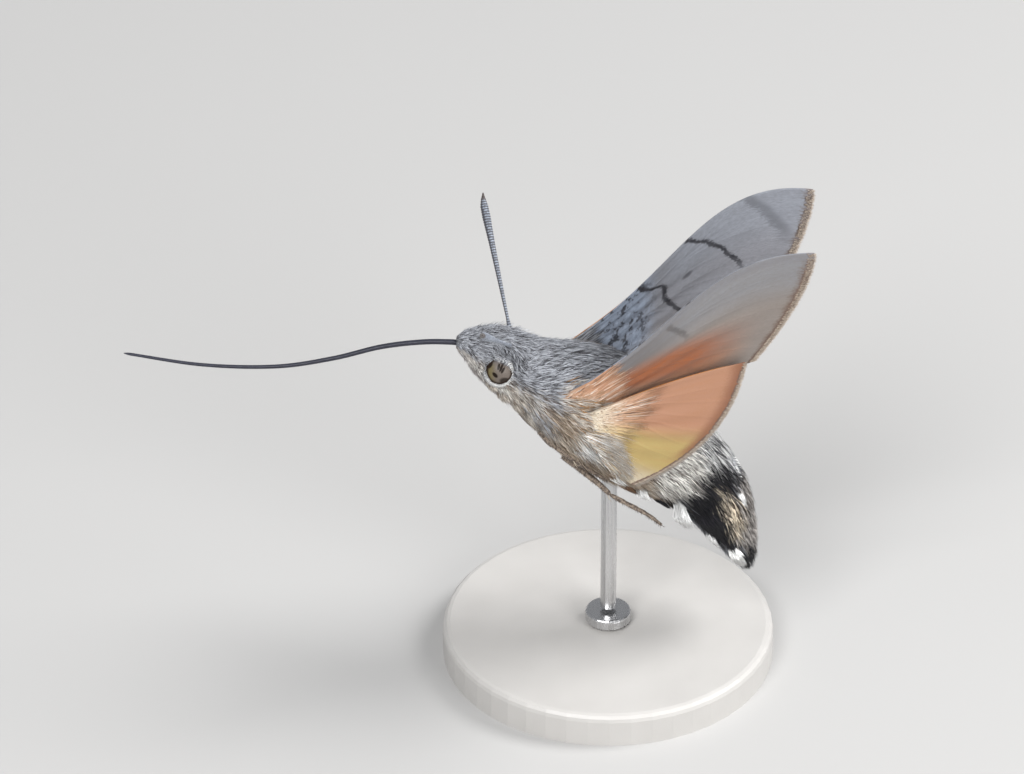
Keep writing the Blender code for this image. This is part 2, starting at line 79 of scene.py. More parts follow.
def gridMesh(name, rows, finish, caps=True, extra=None, turned=False):
    # rows: (R, C, 3) points, closed round each row; the map runs round and along from 0 to 1;
    # turned is for rows that run the other way round, so that the faces still look outwards
    rowCount, count = rows.shape[:2]
    index = np.arange(rowCount * count).reshape(rowCount, count)
    nextIndex = np.roll(index, -1, axis=1)
    quads = np.stack([index[:-1], nextIndex[:-1], nextIndex[1:], index[1:]],
                     axis=-1).reshape(-1, 4)
    u = np.arange(count) / count
    v = np.arange(rowCount) / (rowCount - 1)
    u0, v0 = np.meshgrid(u, v[:-1])
    u1, v1 = np.meshgrid(u + 1 / count, v[1:])
    uv = np.stack([np.stack([u0, v0], -1), np.stack([u1, v0], -1),
                   np.stack([u1, v1], -1), np.stack([u0, v1], -1)], axis=2).reshape(-1, 2)
    corners, sizes = [quads.ravel()], [np.full(len(quads), 4)]
    if caps:
        ring = np.arange(count)
        for order, row, height in ((ring[::-1], 0, 0.0), (ring, rowCount - 1, 1.0)):
            corners.append(index[row][order])
            sizes.append(np.array([count]))
            uv = np.concatenate([uv, np.stack([order / count, np.full(count, height)], -1)])
    corners, sizes = np.concatenate(corners), np.concatenate(sizes)
    if turned:
        corners, sizes, uv = corners[::-1], sizes[::-1], uv[::-1]
    maps = {"OFBake": uv}
    if extra:
        maps.update({key: make(uv) for key, make in extra.items()})
    return makeMesh(name, rows.reshape(-1, 3), corners, sizes, maps, finish)


def unit(vectors):
    return vectors / np.maximum(np.linalg.norm(vectors, axis=-1, keepdims=True), 1e-9)


def tubeRows(points, radii, sides, sideWay=(0.0, 1.0, 0.0), flatten=1.0):
    # rings round a smooth route, in order along it
    points, radii = np.asarray(points, float), np.asarray(radii, float)
    along = unit(np.gradient(points, axis=0))
    side = unit(np.asarray(sideWay) - along * (along @ np.asarray(sideWay))[:, None])
    other = np.cross(along, side)
    turns = np.linspace(0, 2 * math.pi, sides, endpoint=False)
    ring = (side[:, None] * np.cos(turns)[None, :, None] * flatten
            + other[:, None] * np.sin(turns)[None, :, None])
    return points[:, None] + ring * radii[:, None, None]


def smoothRoute(values, count):
    # an even number of points on a smooth curve through the given ones
    values = np.asarray(values, float)
    padded = np.concatenate([2 * values[:1] - values[1:2], values, 2 * values[-1:] - values[-2:-1]])
    t = np.linspace(0, len(values) - 1, count)
    i = np.minimum(t.astype(int), len(values) - 2)
    f = (t - i)[:, None]
    a, b, c, d = (padded[i + k] for k in range(4))
    return 0.5 * (2 * b + (c - a) * f + (2 * a - 5 * b + 4 * c - d) * f ** 2
                  + (3 * b - a - 3 * c + d) * f ** 3)


# Shader nodes

class Net:
    def __init__(self, tree):
        self.tree = tree

    def add(self, kind, **settings):
        made = self.tree.nodes.new(kind)
        for key, value in settings.items():
            setattr(made, key, value)
        return made

    def put(self, socket, value):
        if isinstance(value, bpy.types.NodeSocket):
            self.tree.links.new(value, socket)
        else:
            socket.default_value = value

    def calc(self, operation, *values, clamp=False):
        made = self.add("ShaderNodeMath", operation=operation, use_clamp=clamp)
        for socket, value in zip(made.inputs, values):
            self.put(socket, value)
        return made.outputs[0]

    def vector(self, operation, *values, out=0):
        made = self.add("ShaderNodeVectorMath", operation=operation)
        for socket, value in zip(made.inputs, values):
            self.put(socket, value)
        return made.outputs[out]

    def blend(self, mask, first, second):
        made = self.add("ShaderNodeMix", data_type="RGBA")
        self.put(made.inputs["Factor"], mask)
        for name, value in (("A", first), ("B", second)):
            socket = next(s for s in made.inputs if s.name == name and s.type == "RGBA")
            self.put(socket, value if isinstance(value, bpy.types.NodeSocket) else (*value, 1.0))
        return next(s for s in made.outputs if s.type == "RGBA")

    def ease(self, value, low, high, start=0.0, end=1.0):
        made = self.add("ShaderNodeMapRange", interpolation_type="SMOOTHSTEP")
        for name, number in (("Value", value), ("From Min", low), ("From Max", high),
                             ("To Min", start), ("To Max", end)):
            self.put(made.inputs[name], number)
        return made.outputs[0]

    def noise(self, where, scale, detail=2.0, roughness=0.5):
        made = self.add("ShaderNodeTexNoise")
        self.put(made.inputs["Vector"], where)
        made.inputs["Scale"].default_value = scale
        made.inputs["Detail"].default_value = detail
        made.inputs["Roughness"].default_value = roughness
        return made.outputs[0]

    def map(self, name):
        return self.add("ShaderNodeUVMap", uv_map=name).outputs[0]

    def split(self, value):
        made = self.add("ShaderNodeSeparateXYZ")
        self.put(made.inputs[0], value)
        return made.outputs[0], made.outputs[1], made.outputs[2]

    def join(self, x, y, z=0.0):
        made = self.add("ShaderNodeCombineXYZ")
        for socket, value in zip(made.inputs, (x, y, z)):
            self.put(socket, value)
        return made.outputs[0]


def newGroup(name, inputs, outputs):
    tree = bpy.data.node_groups.new(name, "ShaderNodeTree")
    kinds = {"vector": "NodeSocketVector", "value": "NodeSocketFloat", "colour": "NodeSocketColor"}
    for label, kind in inputs.items():
        tree.interface.new_socket(label, in_out="INPUT", socket_type=kinds[kind])
    for label, kind in outputs.items():
        tree.interface.new_socket(label, in_out="OUTPUT", socket_type=kinds[kind])
    net = Net(tree)
    return net, net.add("NodeGroupInput").outputs, net.add("NodeGroupOutput").inputs


def newFinish(name, roughness, **settings):
    finish = bpy.data.materials.new(name)
    finish.use_nodes = True
    shader = finish.node_tree.nodes["Principled BSDF"]
    shader.inputs["Roughness"].default_value = roughness
    for key, value in settings.items():
        shader.inputs[key.replace("_", " ")].default_value = value
    return finish, Net(finish.node_tree), shader


def useGroup(net, tree, **values):
    made = net.add("ShaderNodeGroup", node_tree=tree)
    for label, value in values.items():
        net.put(made.inputs[label], value)
    return made.outputs


def addBump(net, shader, height, strength, distance):
    bump = net.add("ShaderNodeBump")
    bump.inputs["Strength"].default_value = strength
    bump.inputs["Distance"].default_value = distance * mm
    net.put(bump.inputs["Height"], height)
    net.put(shader.inputs["Normal"], bump.outputs[0])


# The body's centreline: places on it are told by the distance from the snout in mm (s), the
# degrees round from the back (around, left side negative) and the height over the coat (out)

bodyLine = {
    # x, z, half width, half height in mm from the middle of the thorax
    "stations": [
        (-8.70, 4.10, 0.45, 0.45), (-8.15, 4.05, 0.95, 0.90), (-7.45, 3.82, 1.50, 1.40),
        (-6.60, 3.38, 2.05, 2.00), (-5.55, 2.72, 2.40, 2.40), (-4.20, 1.75, 2.65, 2.62),
        (-2.52, 0.86, 3.30, 3.08), (-0.72, -0.03, 4.00, 3.74), (1.08, -1.16, 4.30, 4.02),
        (2.95, -2.62, 4.15, 4.00), (5.00, -4.20, 3.80, 3.60), (7.00, -5.80, 3.50, 3.10),
        (8.40, -7.30, 3.30, 2.75), (9.45, -8.90, 3.10, 2.35), (10.15, -10.30, 2.90, 1.92),
        (10.80, -11.75, 2.50, 1.42), (11.40, -13.30, 1.90, 0.85), (11.80, -14.40, 1.00, 0.45),
    ],
    "samples": 420,
    "insetAt": [0.0, 1.5, 3.0, 5.5, 7.5], "inset": [0.0, 0.20, 0.34, 0.28, 0.0],   # slim throat
}
bodyTable = smoothRoute(bodyLine["stations"], bodyLine["samples"])
stepLengths = np.hypot(np.diff(bodyTable[:, 0]), np.diff(bodyTable[:, 1]))
bodyDistance = np.concatenate([[0.0], np.cumsum(stepLengths)])
bodyLength = bodyDistance[-1]


def bodyAt(s):
    return [np.interp(s, bodyDistance, bodyTable[:, k]) for k in range(4)]


def bodyPoint(s, around, out):
    # the point and the way out from the body
    s, around, out = np.broadcast_arrays(s, around, out)
    x, z, width, height = bodyAt(s)
    throat = np.interp(np.abs(around), [95.0, 135.0], [0.0, 1.0])
    out = out - throat * np.interp(s, bodyLine["insetAt"], bodyLine["inset"])
    reach = 0.3
    before, after = bodyAt(s - reach), bodyAt(s + reach)
    alongX, alongZ = after[0] - before[0], after[1] - before[1]
    length = np.hypot(alongX, alongZ)
    upX, upZ = -alongZ / length, alongX / length
    angle = np.radians(around)
    sine, cosine = np.sin(angle), np.cos(angle)
    way = unit(np.stack([width * cosine * upX, height * sine, width * cosine * upZ], -1))
    spot = np.stack([x + height * cosine * upX, width * sine, z + height * cosine * upZ], -1)
    return spot + way * out[..., None], way


def placeOnBody(points):
    # the nearest place along the body and round from the back
    gap = points[:, None, [0, 2]] - bodyTable[None, :, :2]
    nearest = np.argmin((gap ** 2).sum(-1), axis=1)
    along = unit(np.gradient(bodyTable[:, :2], axis=0))[nearest]
    chosen = gap[np.arange(len(points)), nearest]
    rise = chosen[:, 1] * along[:, 0] - chosen[:, 0] * along[:, 1]
    width, height = bodyTable[nearest, 2], bodyTable[nearest, 3]
    return bodyDistance[nearest], np.degrees(np.arctan2(points[:, 1] / width, rise / height))


# Coat: values along the body, and the marks that skin and coat share

coat = {
    "s":      [0.0, 1.0, 2.5, 4.2, 5.5, 8.0, 13.0, 16.0, 20.0, 23.0, 26.0, 28.7],
    "depth":  [0.10, 0.20, 0.26, 0.34, 0.42, 0.48, 0.46, 0.44, 0.46, 0.60, 0.62, 0.30],
    "length": [0.36, 0.46, 0.60, 0.80, 1.15, 1.40, 1.50, 1.65, 2.00, 2.20, 2.00, 1.40],
    "width":  [0.020, 0.022, 0.025, 0.028, 0.031, 0.033, 0.034, 0.036, 0.040, 0.044, 0.044, 0.040],
    "skinEnd": 27.2,
    "pull": 0.50,            # how far the tips of a lock draw together
    "lockTurn": 11.0,        # degrees that a lock's way varies, and a tuft's within it
    "tuftTurn": 6.0,
    "lockRise": 0.055,       # how much a lock's height varies, mm
    "strays": 0.05,          # share of tufts that stand out
}

grey, greyFleck = (0.455, 0.472, 0.510), (0.070, 0.069, 0.075)
cream, creamFleck = (0.74, 0.685, 0.615), (0.26, 0.205, 0.16)
white, whiteFleck = (0.94, 0.94, 0.93), (0.70, 0.68, 0.67)
beige, beigeFleck = (0.53, 0.435, 0.34), (0.19, 0.13, 0.09)
black, blackFleck = (0.006, 0.006, 0.009), (0.020, 0.019, 0.023)
paleCream, darkFleck = (0.96, 0.94, 0.89), (0.20, 0.18, 0.165)
chin, chinFleck = (0.60, 0.56, 0.54), (0.22, 0.19, 0.18)
ash, ashFleck = (0.60, 0.56, 0.53), (0.035, 0.026, 0.022)
straw, strawFleck = (0.86, 0.75, 0.59), (0.10, 0.07, 0.05)
sand, sandFleck = (0.80, 0.63, 0.40), (0.46, 0.27, 0.13)
brown, brownFleck = (0.20, 0.115, 0.065), (0.08, 0.05, 0.035)

# centre along the body and round from the back, half sizes, softness, colours of the strands
coatMarks = [
    (6.0, 180, 14.0, 92, 0.25, cream, creamFleck),         # cream underside of the thorax
    (12.0, 180, 4.5, 112, 0.30, cream, creamFleck),        # cream side under the wing roots
    (1.0, 180, 5.4, 74, 0.25, chin, chinFleck),            # pale throat
    (3.0, 112, 2.0, 17, 0.40, paleCream, chinFleck),       # white cheek under the eye
    (8.9, 98, 1.7, 15, 0.60, beige, beigeFleck),
    (7.2, 112, 1.4, 12, 0.60, grey, creamFleck),
    (10.6, 134, 2.6, 18, 0.60, beige, beigeFleck),
    (11.9, 80, 2.7, 30, 0.35, cream, sandFleck),           # cream hair between the wing roots
    (10.4, 66, 2.6, 21, 0.40, cream, sandFleck),
    (11.6, 106, 1.2, 12, 0.60, white, whiteFleck),
    (16.0, 150, 3.6, 62, 0.30, beige, beigeFleck),         # brown belly
    (18.0, 60, 2.0, 66, 0.35, paleCream, darkFleck),       # pale band of long hair
    (18.9, 16, 1.7, 30, 0.50, white, greyFleck),
    (16.6, 146, 0.8, 16, 0.50, black, beigeFleck),
    (19.3, 142, 1.3, 22, 0.45, black, beigeFleck),
    (20.5, 58, 1.4, 34, 0.30, black, blackFleck),          # black side patches
    (22.4, 100, 3.3, 28, 0.30, black, blackFleck),
    (22.1, 16, 1.1, 16, 0.40, black, greyFleck),
    (24.5, 22, 2.8, 38, 0.40, ash, ashFleck),              # mottled upper side of the fan
    (23.3, 60, 2.4, 17, 0.45, straw, strawFleck),
    (25.2, 54, 1.4, 20, 0.60, ash, ashFleck),
    (27.2, 90, 1.5, 80, 0.45, black, blackFleck),
    (27.9, 90, 1.2, 180, 0.50, black, blackFleck),
    (50.0, 90, 5.0, 400, 0.20, white, white),              # off the body: the tufts' palette
    (70.0, 90, 5.0, 400, 0.20, black, blackFleck),
    (90.0, 90, 5.0, 400, 0.20, grey, greyFleck),
    (110.0, 90, 5.0, 400, 0.20, sand, sandFleck),
    (130.0, 90, 5.0, 400, 0.20, cream, creamFleck),
    (150.0, 90, 5.0, 400, 0.20, brown, brownFleck),
]
paletteWhite, paletteBlack, paletteGrey = (50.0, 90.0), (70.0, 90.0), (90.0, 90.0)
paletteSand, paletteCream, paletteBrown = (110.0, 90.0), (130.0, 90.0), (150.0, 90.0)
markScale = np.array([100.0, 200.0])      # s and around are stored over these in the map


def buildMarkGroup():
    net, given, result = newGroup("coatMarks", {"Place": "vector", "Grain": "value",
                                                "Along": "value"}, {"Color": "colour"})
    spot = net.vector("MULTIPLY", given["Place"], (markScale[0], markScale[1], 0.0))
    strand, fleck = grey, greyFleck
    for s, around, halfLong, halfRound, soft, mainColour, fleckColour in coatMarks:
        nearness = net.vector("MULTIPLY_ADD", spot, (1 / halfLong, 1 / halfRound, 0.0),
                              (-s / halfLong, -around / halfRound, 0.0))
        distance = net.vector("LENGTH", nearness, out=1)
        mask = net.ease(distance, 1.0 + soft / 2, 1.0 - soft / 2)
        strand = net.blend(mask, strand, mainColour)
        fleck = net.blend(mask, fleck, fleckColour)
    pick = net.ease(given["Grain"], 0.53, 0.68)
    colour = net.blend(pick, strand, fleck)
    shade = net.calc("MULTIPLY_ADD", net.calc("FRACT", net.calc("MULTIPLY", given["Grain"], 37.0)),
                     0.52, 0.72)
    rootShade = net.ease(given["Along"], 0.0, 0.7, 0.36, 1.0)
    level = net.calc("MULTIPLY", shade, rootShade)
    scaled = net.vector("SCALE", colour)
    net.put(scaled.node.inputs["Scale"], level)
    net.put(result["Color"], scaled)
    return net.tree


markGroup = buildMarkGroup()


def coatFinish():
    finish, net, shader = newFinish("scaleCoat", 0.60, Sheen_Weight=0.03, Sheen_Roughness=0.45,
                                    Specular_IOR_Level=0.12)
    grain, along, _ = net.split(net.map("coatGrain"))
    out = useGroup(net, markGroup, Place=net.map("coatPlace"), Grain=grain, Along=along)
    net.put(shader.inputs["Base Color"], out["Color"])
    return finish


def skinFinish():
    finish, net, shader = newFinish("skin", 0.85)
    where = net.map("coatPlace")
    grain = net.noise(net.vector("MULTIPLY", net.map("OFBake"), (160.0, 110.0, 1.0)), 1.0, 3.0)
    # painted shade: Along 0.25 darkens the skin as at a tuft's root, deep under the coat
    out = useGroup(net, markGroup, Place=where, Grain=net.ease(grain, 0.3, 0.7), Along=0.25)
    net.put(shader.inputs["Base Color"], out["Color"])
    addBump(net, shader, grain, 0.6, 0.1)
    return finish


coatScales = coatFinish()
print("coat marks built")


# Tufts: thin three-sided strands, closed at the root and pointed at the tip

def growTufts(name, spine, outWay, halfWidth, roots, marks, grain, profile, slot="coat",
              finish=None, thickness=0.55):
    # spine (N, K + 1, 3); roots (N, 2) on the skin's map; marks (N, 2) s and |around|
    count, rings = spine.shape[0], spine.shape[1] - 1
    along = unit(spine[:, 1:] - spine[:, :-1])
    side = unit(np.cross(along, outWay[:, :rings]))
    lift = np.cross(side, along)
    half = halfWidth[:, None, None] * np.asarray(profile)[None, :, None]
    base = spine[:, :rings]
    points = np.stack([base - side * half, base + side * half, base + lift * half * thickness],
                      axis=2).reshape(count, rings * 3, 3)
    points = np.concatenate([points, spine[:, rings:]], axis=1)
    perTuft = rings * 3 + 1
    faces = [(0, 1, 2)]
    for ring in range(rings - 1):
        here, there = 3 * ring, 3 * ring + 3
        faces += [(here + q, here + p, there + p, there + q) for p, q in ((0, 1), (1, 2), (2, 0))]
    last = 3 * rings - 3
    faces += [(last + q, last + p, perTuft - 1) for p, q in ((0, 1), (1, 2), (2, 0))]
    template = np.array([corner for face in faces for corner in face])
    sizes = np.array([len(face) for face in faces])
    ringOf = np.append(np.repeat(np.arange(rings), 3), rings) / rings
    across = np.append(np.tile([-0.5, 0.5, 0.0], rings), 0.0)
    patch = np.stack([across, ringOf], -1)[template] * 0.003
    perCall = 196000 // int(np.sum(sizes - 2))
    pieces = []
    for start in range(0, count, perCall):
        part = slice(start, min(count, start + perCall))
        n = part.stop - start
        corners = (template[None] + perTuft * np.arange(n)[:, None]).ravel()
        maps = {
            "OFBake": (roots[part, None] + patch[None]).reshape(-1, 2),
            "coatPlace": np.repeat(marks[part, None] / markScale, len(template), 1).reshape(-1, 2),
            "coatGrain": np.stack([np.repeat(grain[part, None], len(template), 1),
                                   np.tile(ringOf[template], (n, 1))], -1).reshape(-1, 2),
        }
        label = name if count <= perCall else "%s_%d" % (name, len(pieces) + 1)
        made = makeMesh(label, points[part].reshape(-1, 3), corners, np.tile(sizes, n), maps,
                        finish or coatScales)
        pieces.append(place(made, slot))
    return pieces


def rootMap(s, around):
    return np.stack([(around + 180.0) / 360.0, s / bodyLength], -1)


def headingAt(s, around):
    # degrees that the coat turns towards the back
    b = np.abs(around)
    fan = np.interp(b, [0, 30, 60, 76, 92, 108, 140, 180], [0, 22, 36, 20, -6, -14, -8, 0])
    thoraxShare = np.interp(s, [3.6, 4.6, 8.0, 11.5, 13.5], [0.0, 1.0, 1.0, 0.35, 0.0])
    brow = np.interp(b, [18, 34, 60, 70], [0, -58, -58, 0])
    browShare = np.interp(s, [1.6, 2.2, 3.6, 4.2], [0.0, 1.0, 1.0, 0.0])
    return fan * thoraxShare + brow * browShare


def bodyRoots(rng, count, first, last):
    # even over the surface between two distances
    s = np.linspace(first, last, 400)
    _, _, width, height = bodyAt(s)
    weight = np.cumsum(width + height)
    chosen = np.interp(rng.uniform(0, weight[-1], count), weight, s)
    return chosen, rng.uniform(-180, 180, count)


def bodySpines(s, around, length, heading, outs, drawLong=0.0, drawRound=0.0):
    # points that lie back over the body from their roots, drawn towards their lock's middle
    _, _, width, height = bodyAt(s)
    radius = 0.5 * (width + height)
    steps = np.linspace(0, 1, outs.shape[1])
    turn = np.radians(heading)[:, None]
    run = length[:, None] * steps[None]
    spineS = s[:, None] + run * np.cos(turn) + np.multiply.outer(drawLong, steps)
    side = np.where(around < 0, -1.0, 1.0)[:, None]
    across = np.multiply.outer(drawRound, steps) - side * run * np.sin(turn)
    spineA = around[:, None] + np.degrees(across / radius[:, None])
    over = np.maximum(spineS - bodyLength, 0.0)
    points, ways = bodyPoint(np.minimum(spineS, bodyLength), spineA, outs)
    tail = np.array([math.sin(math.radians(14)), 0.0, -math.cos(math.radians(14))])
    return points + over[..., None] * tail, ways


def lockOf(rng, s, around, size):
    # the nearest of scattered lock middles: the way to it and the lock's own random numbers
    _, _, width, height = bodyAt(s)
    arc = np.radians(around) * 0.5 * (width + height)
    i, j = np.floor(s / size).astype(int), np.floor(arc / size).astype(int)
    table = rng.random((8191, 6))
    nearest = np.full(len(s), 1e9)
    long, aside, numbers = np.zeros(len(s)), np.zeros(len(s)), np.zeros((len(s), 4))
    for di in (-1, 0, 1):
        for dj in (-1, 0, 1):
            drawn = table[((i + di) * 7919 + (j + dj) * 104729) % 8191]
            toS = (i + di + drawn[:, 0]) * size - s
            toArc = (j + dj + drawn[:, 1]) * size - arc
            distance = np.hypot(toS, toArc)
            closer = distance < nearest
            nearest = np.where(closer, distance, nearest)
            long, aside = np.where(closer, toS, long), np.where(closer, toArc, aside)
            numbers = np.where(closer[:, None], drawn[:, 2:], numbers)
    return long, aside, numbers


eye = {
    "centre": (-5.62, 1.45, 2.78),       # the right one, mirrored for the left
    "radius": 1.15,
    "axis": (-0.02, 0.87, 0.47),
    "opening": 50.0,                     # degrees from the axis to the fringe
}


def clearOfEyes(points):
    # true for tufts that keep off the open part of both eyes
    keep = np.ones(len(points), bool)
    for side in (-1, 1):
        centre = np.array(eye["centre"]) * (1, side, 1)
        axis = unit(np.array(eye["axis"]) * (1, side, 1))
        away = points - centre
        distance = np.linalg.norm(away, axis=-1)
        angle = np.degrees(np.arccos(np.clip(unit(away) @ axis, -1, 1)))
        hit = (angle < eye["opening"]) & (distance < eye["radius"] + 0.5)
        inside = distance < eye["radius"] * 0.9
        keep &= ~(hit | inside)[:, 1:].any(axis=1)
    return keep


def growBodyCoat(name, seed, count, first, last, lockSize, rings, low, high, longer=1.0):
    # low and high: where the tips end, as a share of the coat's depth under its surface
    rng = np.random.default_rng(seed)
    s, around = bodyRoots(rng, count, first, last)
    b = np.abs(around)
    drawLong, drawRound, numbers = lockOf(rng, s, around, lockSize)
    depth, length = np.interp(s, coat["s"], coat["depth"]), np.interp(s, coat["s"], coat["length"])
    length = length * rng.uniform(0.70, 1.15, count) * longer
    breast = np.interp(b, [80, 100], [0, 1]) * np.interp(s, [4.5, 7, 13, 15], [0, 1, 1, 0])
    length = length * (1.0 + 0.45 * breast)
    wave = 7.0 * np.sin(s * 3.1 + b * 0.11) * np.cos(s * 1.7 - b * 0.23)
    heading = (headingAt(s, around) + wave + (numbers[:, 0] - 0.5) * 3.4 * coat["lockTurn"]
               + rng.normal(0, coat["tuftTurn"], count))
    tip = -depth * rng.uniform(low, high, count) + (numbers[:, 1] - 0.5) * 3.4 * coat["lockRise"]
    ruff = np.exp(-((s - 4.5) / 0.35) ** 2) * np.interp(b, [100, 125], [1.0, 0.0])
    crown = np.interp(s, [0.5, 1.5, 3.8, 4.6], [0, 1, 1, 0]) * np.interp(b, [50, 75], [1, 0])
    stray = (rng.random(count) < coat["strays"] * (1 + crown)) * rng.uniform(0.05, 0.20, count)
    stray = stray * (1.0 + 0.9 * crown)
    belly = np.interp(s, [10.5, 12.5, 15.5, 17.0], [0, 1, 1, 0]) * np.interp(b, [130, 150], [0, 1])
    tip = tip + 0.10 * ruff + 0.16 * belly + stray
    t = np.linspace(0, 1, rings + 1)[None]
    outs = (-depth - 0.10)[:, None] + (depth + 0.10 + tip)[:, None] * np.sin(t * math.pi / 2) ** 0.9
    spine, ways = bodySpines(s, around, length, heading, outs, drawLong * coat["pull"],
                             drawRound * coat["pull"])
    keep = clearOfEyes(spine)
    s, around, spine, ways = s[keep], around[keep], spine[keep], ways[keep]
    half = np.interp(s, coat["s"], coat["width"]) * rng.uniform(0.7, 1.25, len(s))
    markS = s + (0.55 * length + 0.35 * (numbers[:, 2] - 0.5))[keep] + rng.normal(0, 0.12, len(s))
    markA = np.abs(around) + 8.0 * (numbers[keep, 3] - 0.5) + rng.normal(0, 2.5, len(s))
    grain = 0.35 * numbers[keep, 3] + 0.65 * rng.random(len(s))
    profile = np.interp(np.arange(rings) / rings, [0, 0.4, 1], [0.9, 1.0, 0.5])
    return growTufts(name, spine, ways, half, rootMap(s, around), np.stack([markS, markA], -1),
                     grain, profile)


# One skin for head, thorax, abdomen and tail

def buildSkin():
    rows, count = 170, 96
    s = np.linspace(0.12, coat["skinEnd"], rows)
    around = np.linspace(-180, 180, count, endpoint=False)
    depth = np.interp(s, coat["s"], coat["depth"])
    points, _ = bodyPoint(s[:, None], around[None], -depth[:, None])
    lowV, highV = s[0] / bodyLength, s[-1] / bodyLength

    def placeMap(uv):
        b = np.abs(uv[:, 0] * 360.0 - 180.0)
        along = s[0] + uv[:, 1] * (s[-1] - s[0])
        return np.stack([along / markScale[0], b / markScale[1]], -1)

    skin = gridMesh("skin", points, skinFinish(), extra={"coatPlace": placeMap}, turned=True)
    uv = skin.data.uv_layers["OFBake"].uv
    values = np.empty(len(uv) * 2, np.float32)
    uv.foreach_get("vector", values)
    values = values.reshape(-1, 2)
    values[:, 1] = lowV + values[:, 1] * (highV - lowV)
    uv.foreach_set("vector", values.ravel())
    return place(skin, "coat", "head", "thorax", "abdomen", "tail_fan")


buildSkin()
growBodyCoat("coat_head_low", 3, 26000, 0.1, 4.4, 0.20, 1, 0.1, 0.7)
growBodyCoat("coat_head_top", 4, 9000, 0.1, 4.4, 0.20, 2, -0.1, 0.3, 1.15)
growBodyCoat("coat_thorax_low", 5, 54000, 4.2, 13.8, 0.27, 1, 0.1, 0.7)
growBodyCoat("coat_thorax_top", 6, 14500, 4.2, 13.8, 0.27, 2, -0.1, 0.3, 1.15)
growBodyCoat("coat_abdomen_low", 7, 34000, 13.4, 22.6, 0.34, 1, 0.1, 0.7)
growBodyCoat("coat_abdomen_top", 8, 10000, 13.4, 22.6, 0.34, 2, -0.1, 0.3, 1.15)
growBodyCoat("coat_tail_low", 9, 14000, 21.8, 26.6, 0.45, 1, 0.1, 0.7, 0.8)
growBodyCoat("coat_tail_top", 10, 8500, 21.8, 26.2, 0.45, 2, -0.1, 0.3)
print("skin and body coat built")


# Locks that stand out: white, black and pale tufts of the flanks and the tail fan

lockRows = [
    # s, around, length, half spread in degrees, rise over the coat, heading, strands, palette
    (3.3, 122, 0.85, 16, 0.18, -26, 60, paletteCream),
    (4.3, 126, 1.00, 18, 0.22, -26, 70, paletteCream),
    (5.3, 128, 1.05, 16, 0.12, -18, 70, paletteCream),
    (14.2, 128, 1.3, 7, 0.10, -10, 90, paletteWhite),
    (15.2, 140, 1.7, 12, 0.20, -8, 70, paletteBrown),
    (16.5, 132, 1.2, 7, 0.35, -10, 110, paletteWhite),
    (17.9, 140, 2.0, 14, 0.18, -8, 150, paletteBlack),
    (19.2, 119, 2.9, 10, 0.75, -14, 240, paletteWhite),
    (20.6, 100, 3.2, 16, 0.15, -6, 260, paletteBlack),
    (21.8, 34, 1.3, 4, 0.10, 4, 40, paletteWhite),
    (20.9, 9, 0.5, 3, 0.03, 0, 12, paletteWhite),
    (23.0, 127, 2.0, 7, 0.20, 2, 110, paletteWhite),
    (24.9, 99, 2.2, 13, 0.30, 4, 300, paletteWhite),
]


def growLocks():
    rng = np.random.default_rng(21)
    groups = []
    for s0, around0, length0, spread, rise, heading0, strands, palette in lockRows:
        for side in (-1, 1):
            n = int(strands * 1.6)
            offset = rng.uniform(-1, 1, n)
            s = s0 + rng.normal(0, 0.16, n)
            around = side * (around0 + offset * spread * 0.7)
            length = length0 * rng.uniform(0.72, 1.05, n) * (1.0 - 0.22 * offset ** 2)
            depth = np.interp(s, coat["s"], coat["depth"])
            tip = rise * rng.uniform(0.55, 1.05, n)
            t = np.array([[0.0, 0.3, 0.65, 1.0]])
            outs = ((-depth - 0.1)[:, None]
                    + (depth + 0.1 + tip)[:, None] * np.minimum(1.0, 1.35 * t) ** 0.8)
            heading = heading0 - offset * spread * 0.5 + rng.normal(0, 3.0, n)
            spine, ways = bodySpines(s, around, length, heading, outs)
            marks = np.tile(np.array(palette), (n, 1))
            width = 0.022 if s0 < 8 else 0.040
            groups.append((spine, ways, width * rng.uniform(0.8, 1.2, n), rootMap(s, around),
                           marks, rng.random(n)))
    stacked = [np.concatenate([group[k] for group in groups]) for k in range(6)]
    return growTufts("coat_locks", *stacked, [0.7, 1.0, 0.9])


growLocks()
print("locks built")


# Wings: each place is told by u from the leading edge to the rear and v from root to margin

wing = {
    "foreLength": 20.9, "foreRootEdge": ((-2.0, -0.75), (-2.0, 2.1)), "foreTornus": (10.6, 5.2),
    "costaBulge": 2.5, "costaSkew": 2.2, "marginBulge": 0.7, "rearBulge": -0.35,
    "foreRoot": (0.35, 3.05, 2.05), "rise": 40.0, "lean": {-1: -8.5, 1: 4.5}, "feather": 12.0,
    "foreCamber": 0.35,
    "hindRoot": (1.95, 3.85, 0.55), "hindApex": (9.3, 4.9), "hindAnal": (1.5, -5.1),
    "hindRootEdge": ((-1.2, 0.35), (-1.3, -1.0)), "hindFront": 0.4, "hindRear": -0.5,
    "hindMargin": 1.7, "hindFlare": 0.75, "hindCamber": 0.25, "step": 0.80,
    "membraneEnd": 0.975, "thickness": 0.05, "veinHeight": 0.045, "veinWidth": 0.11,
}

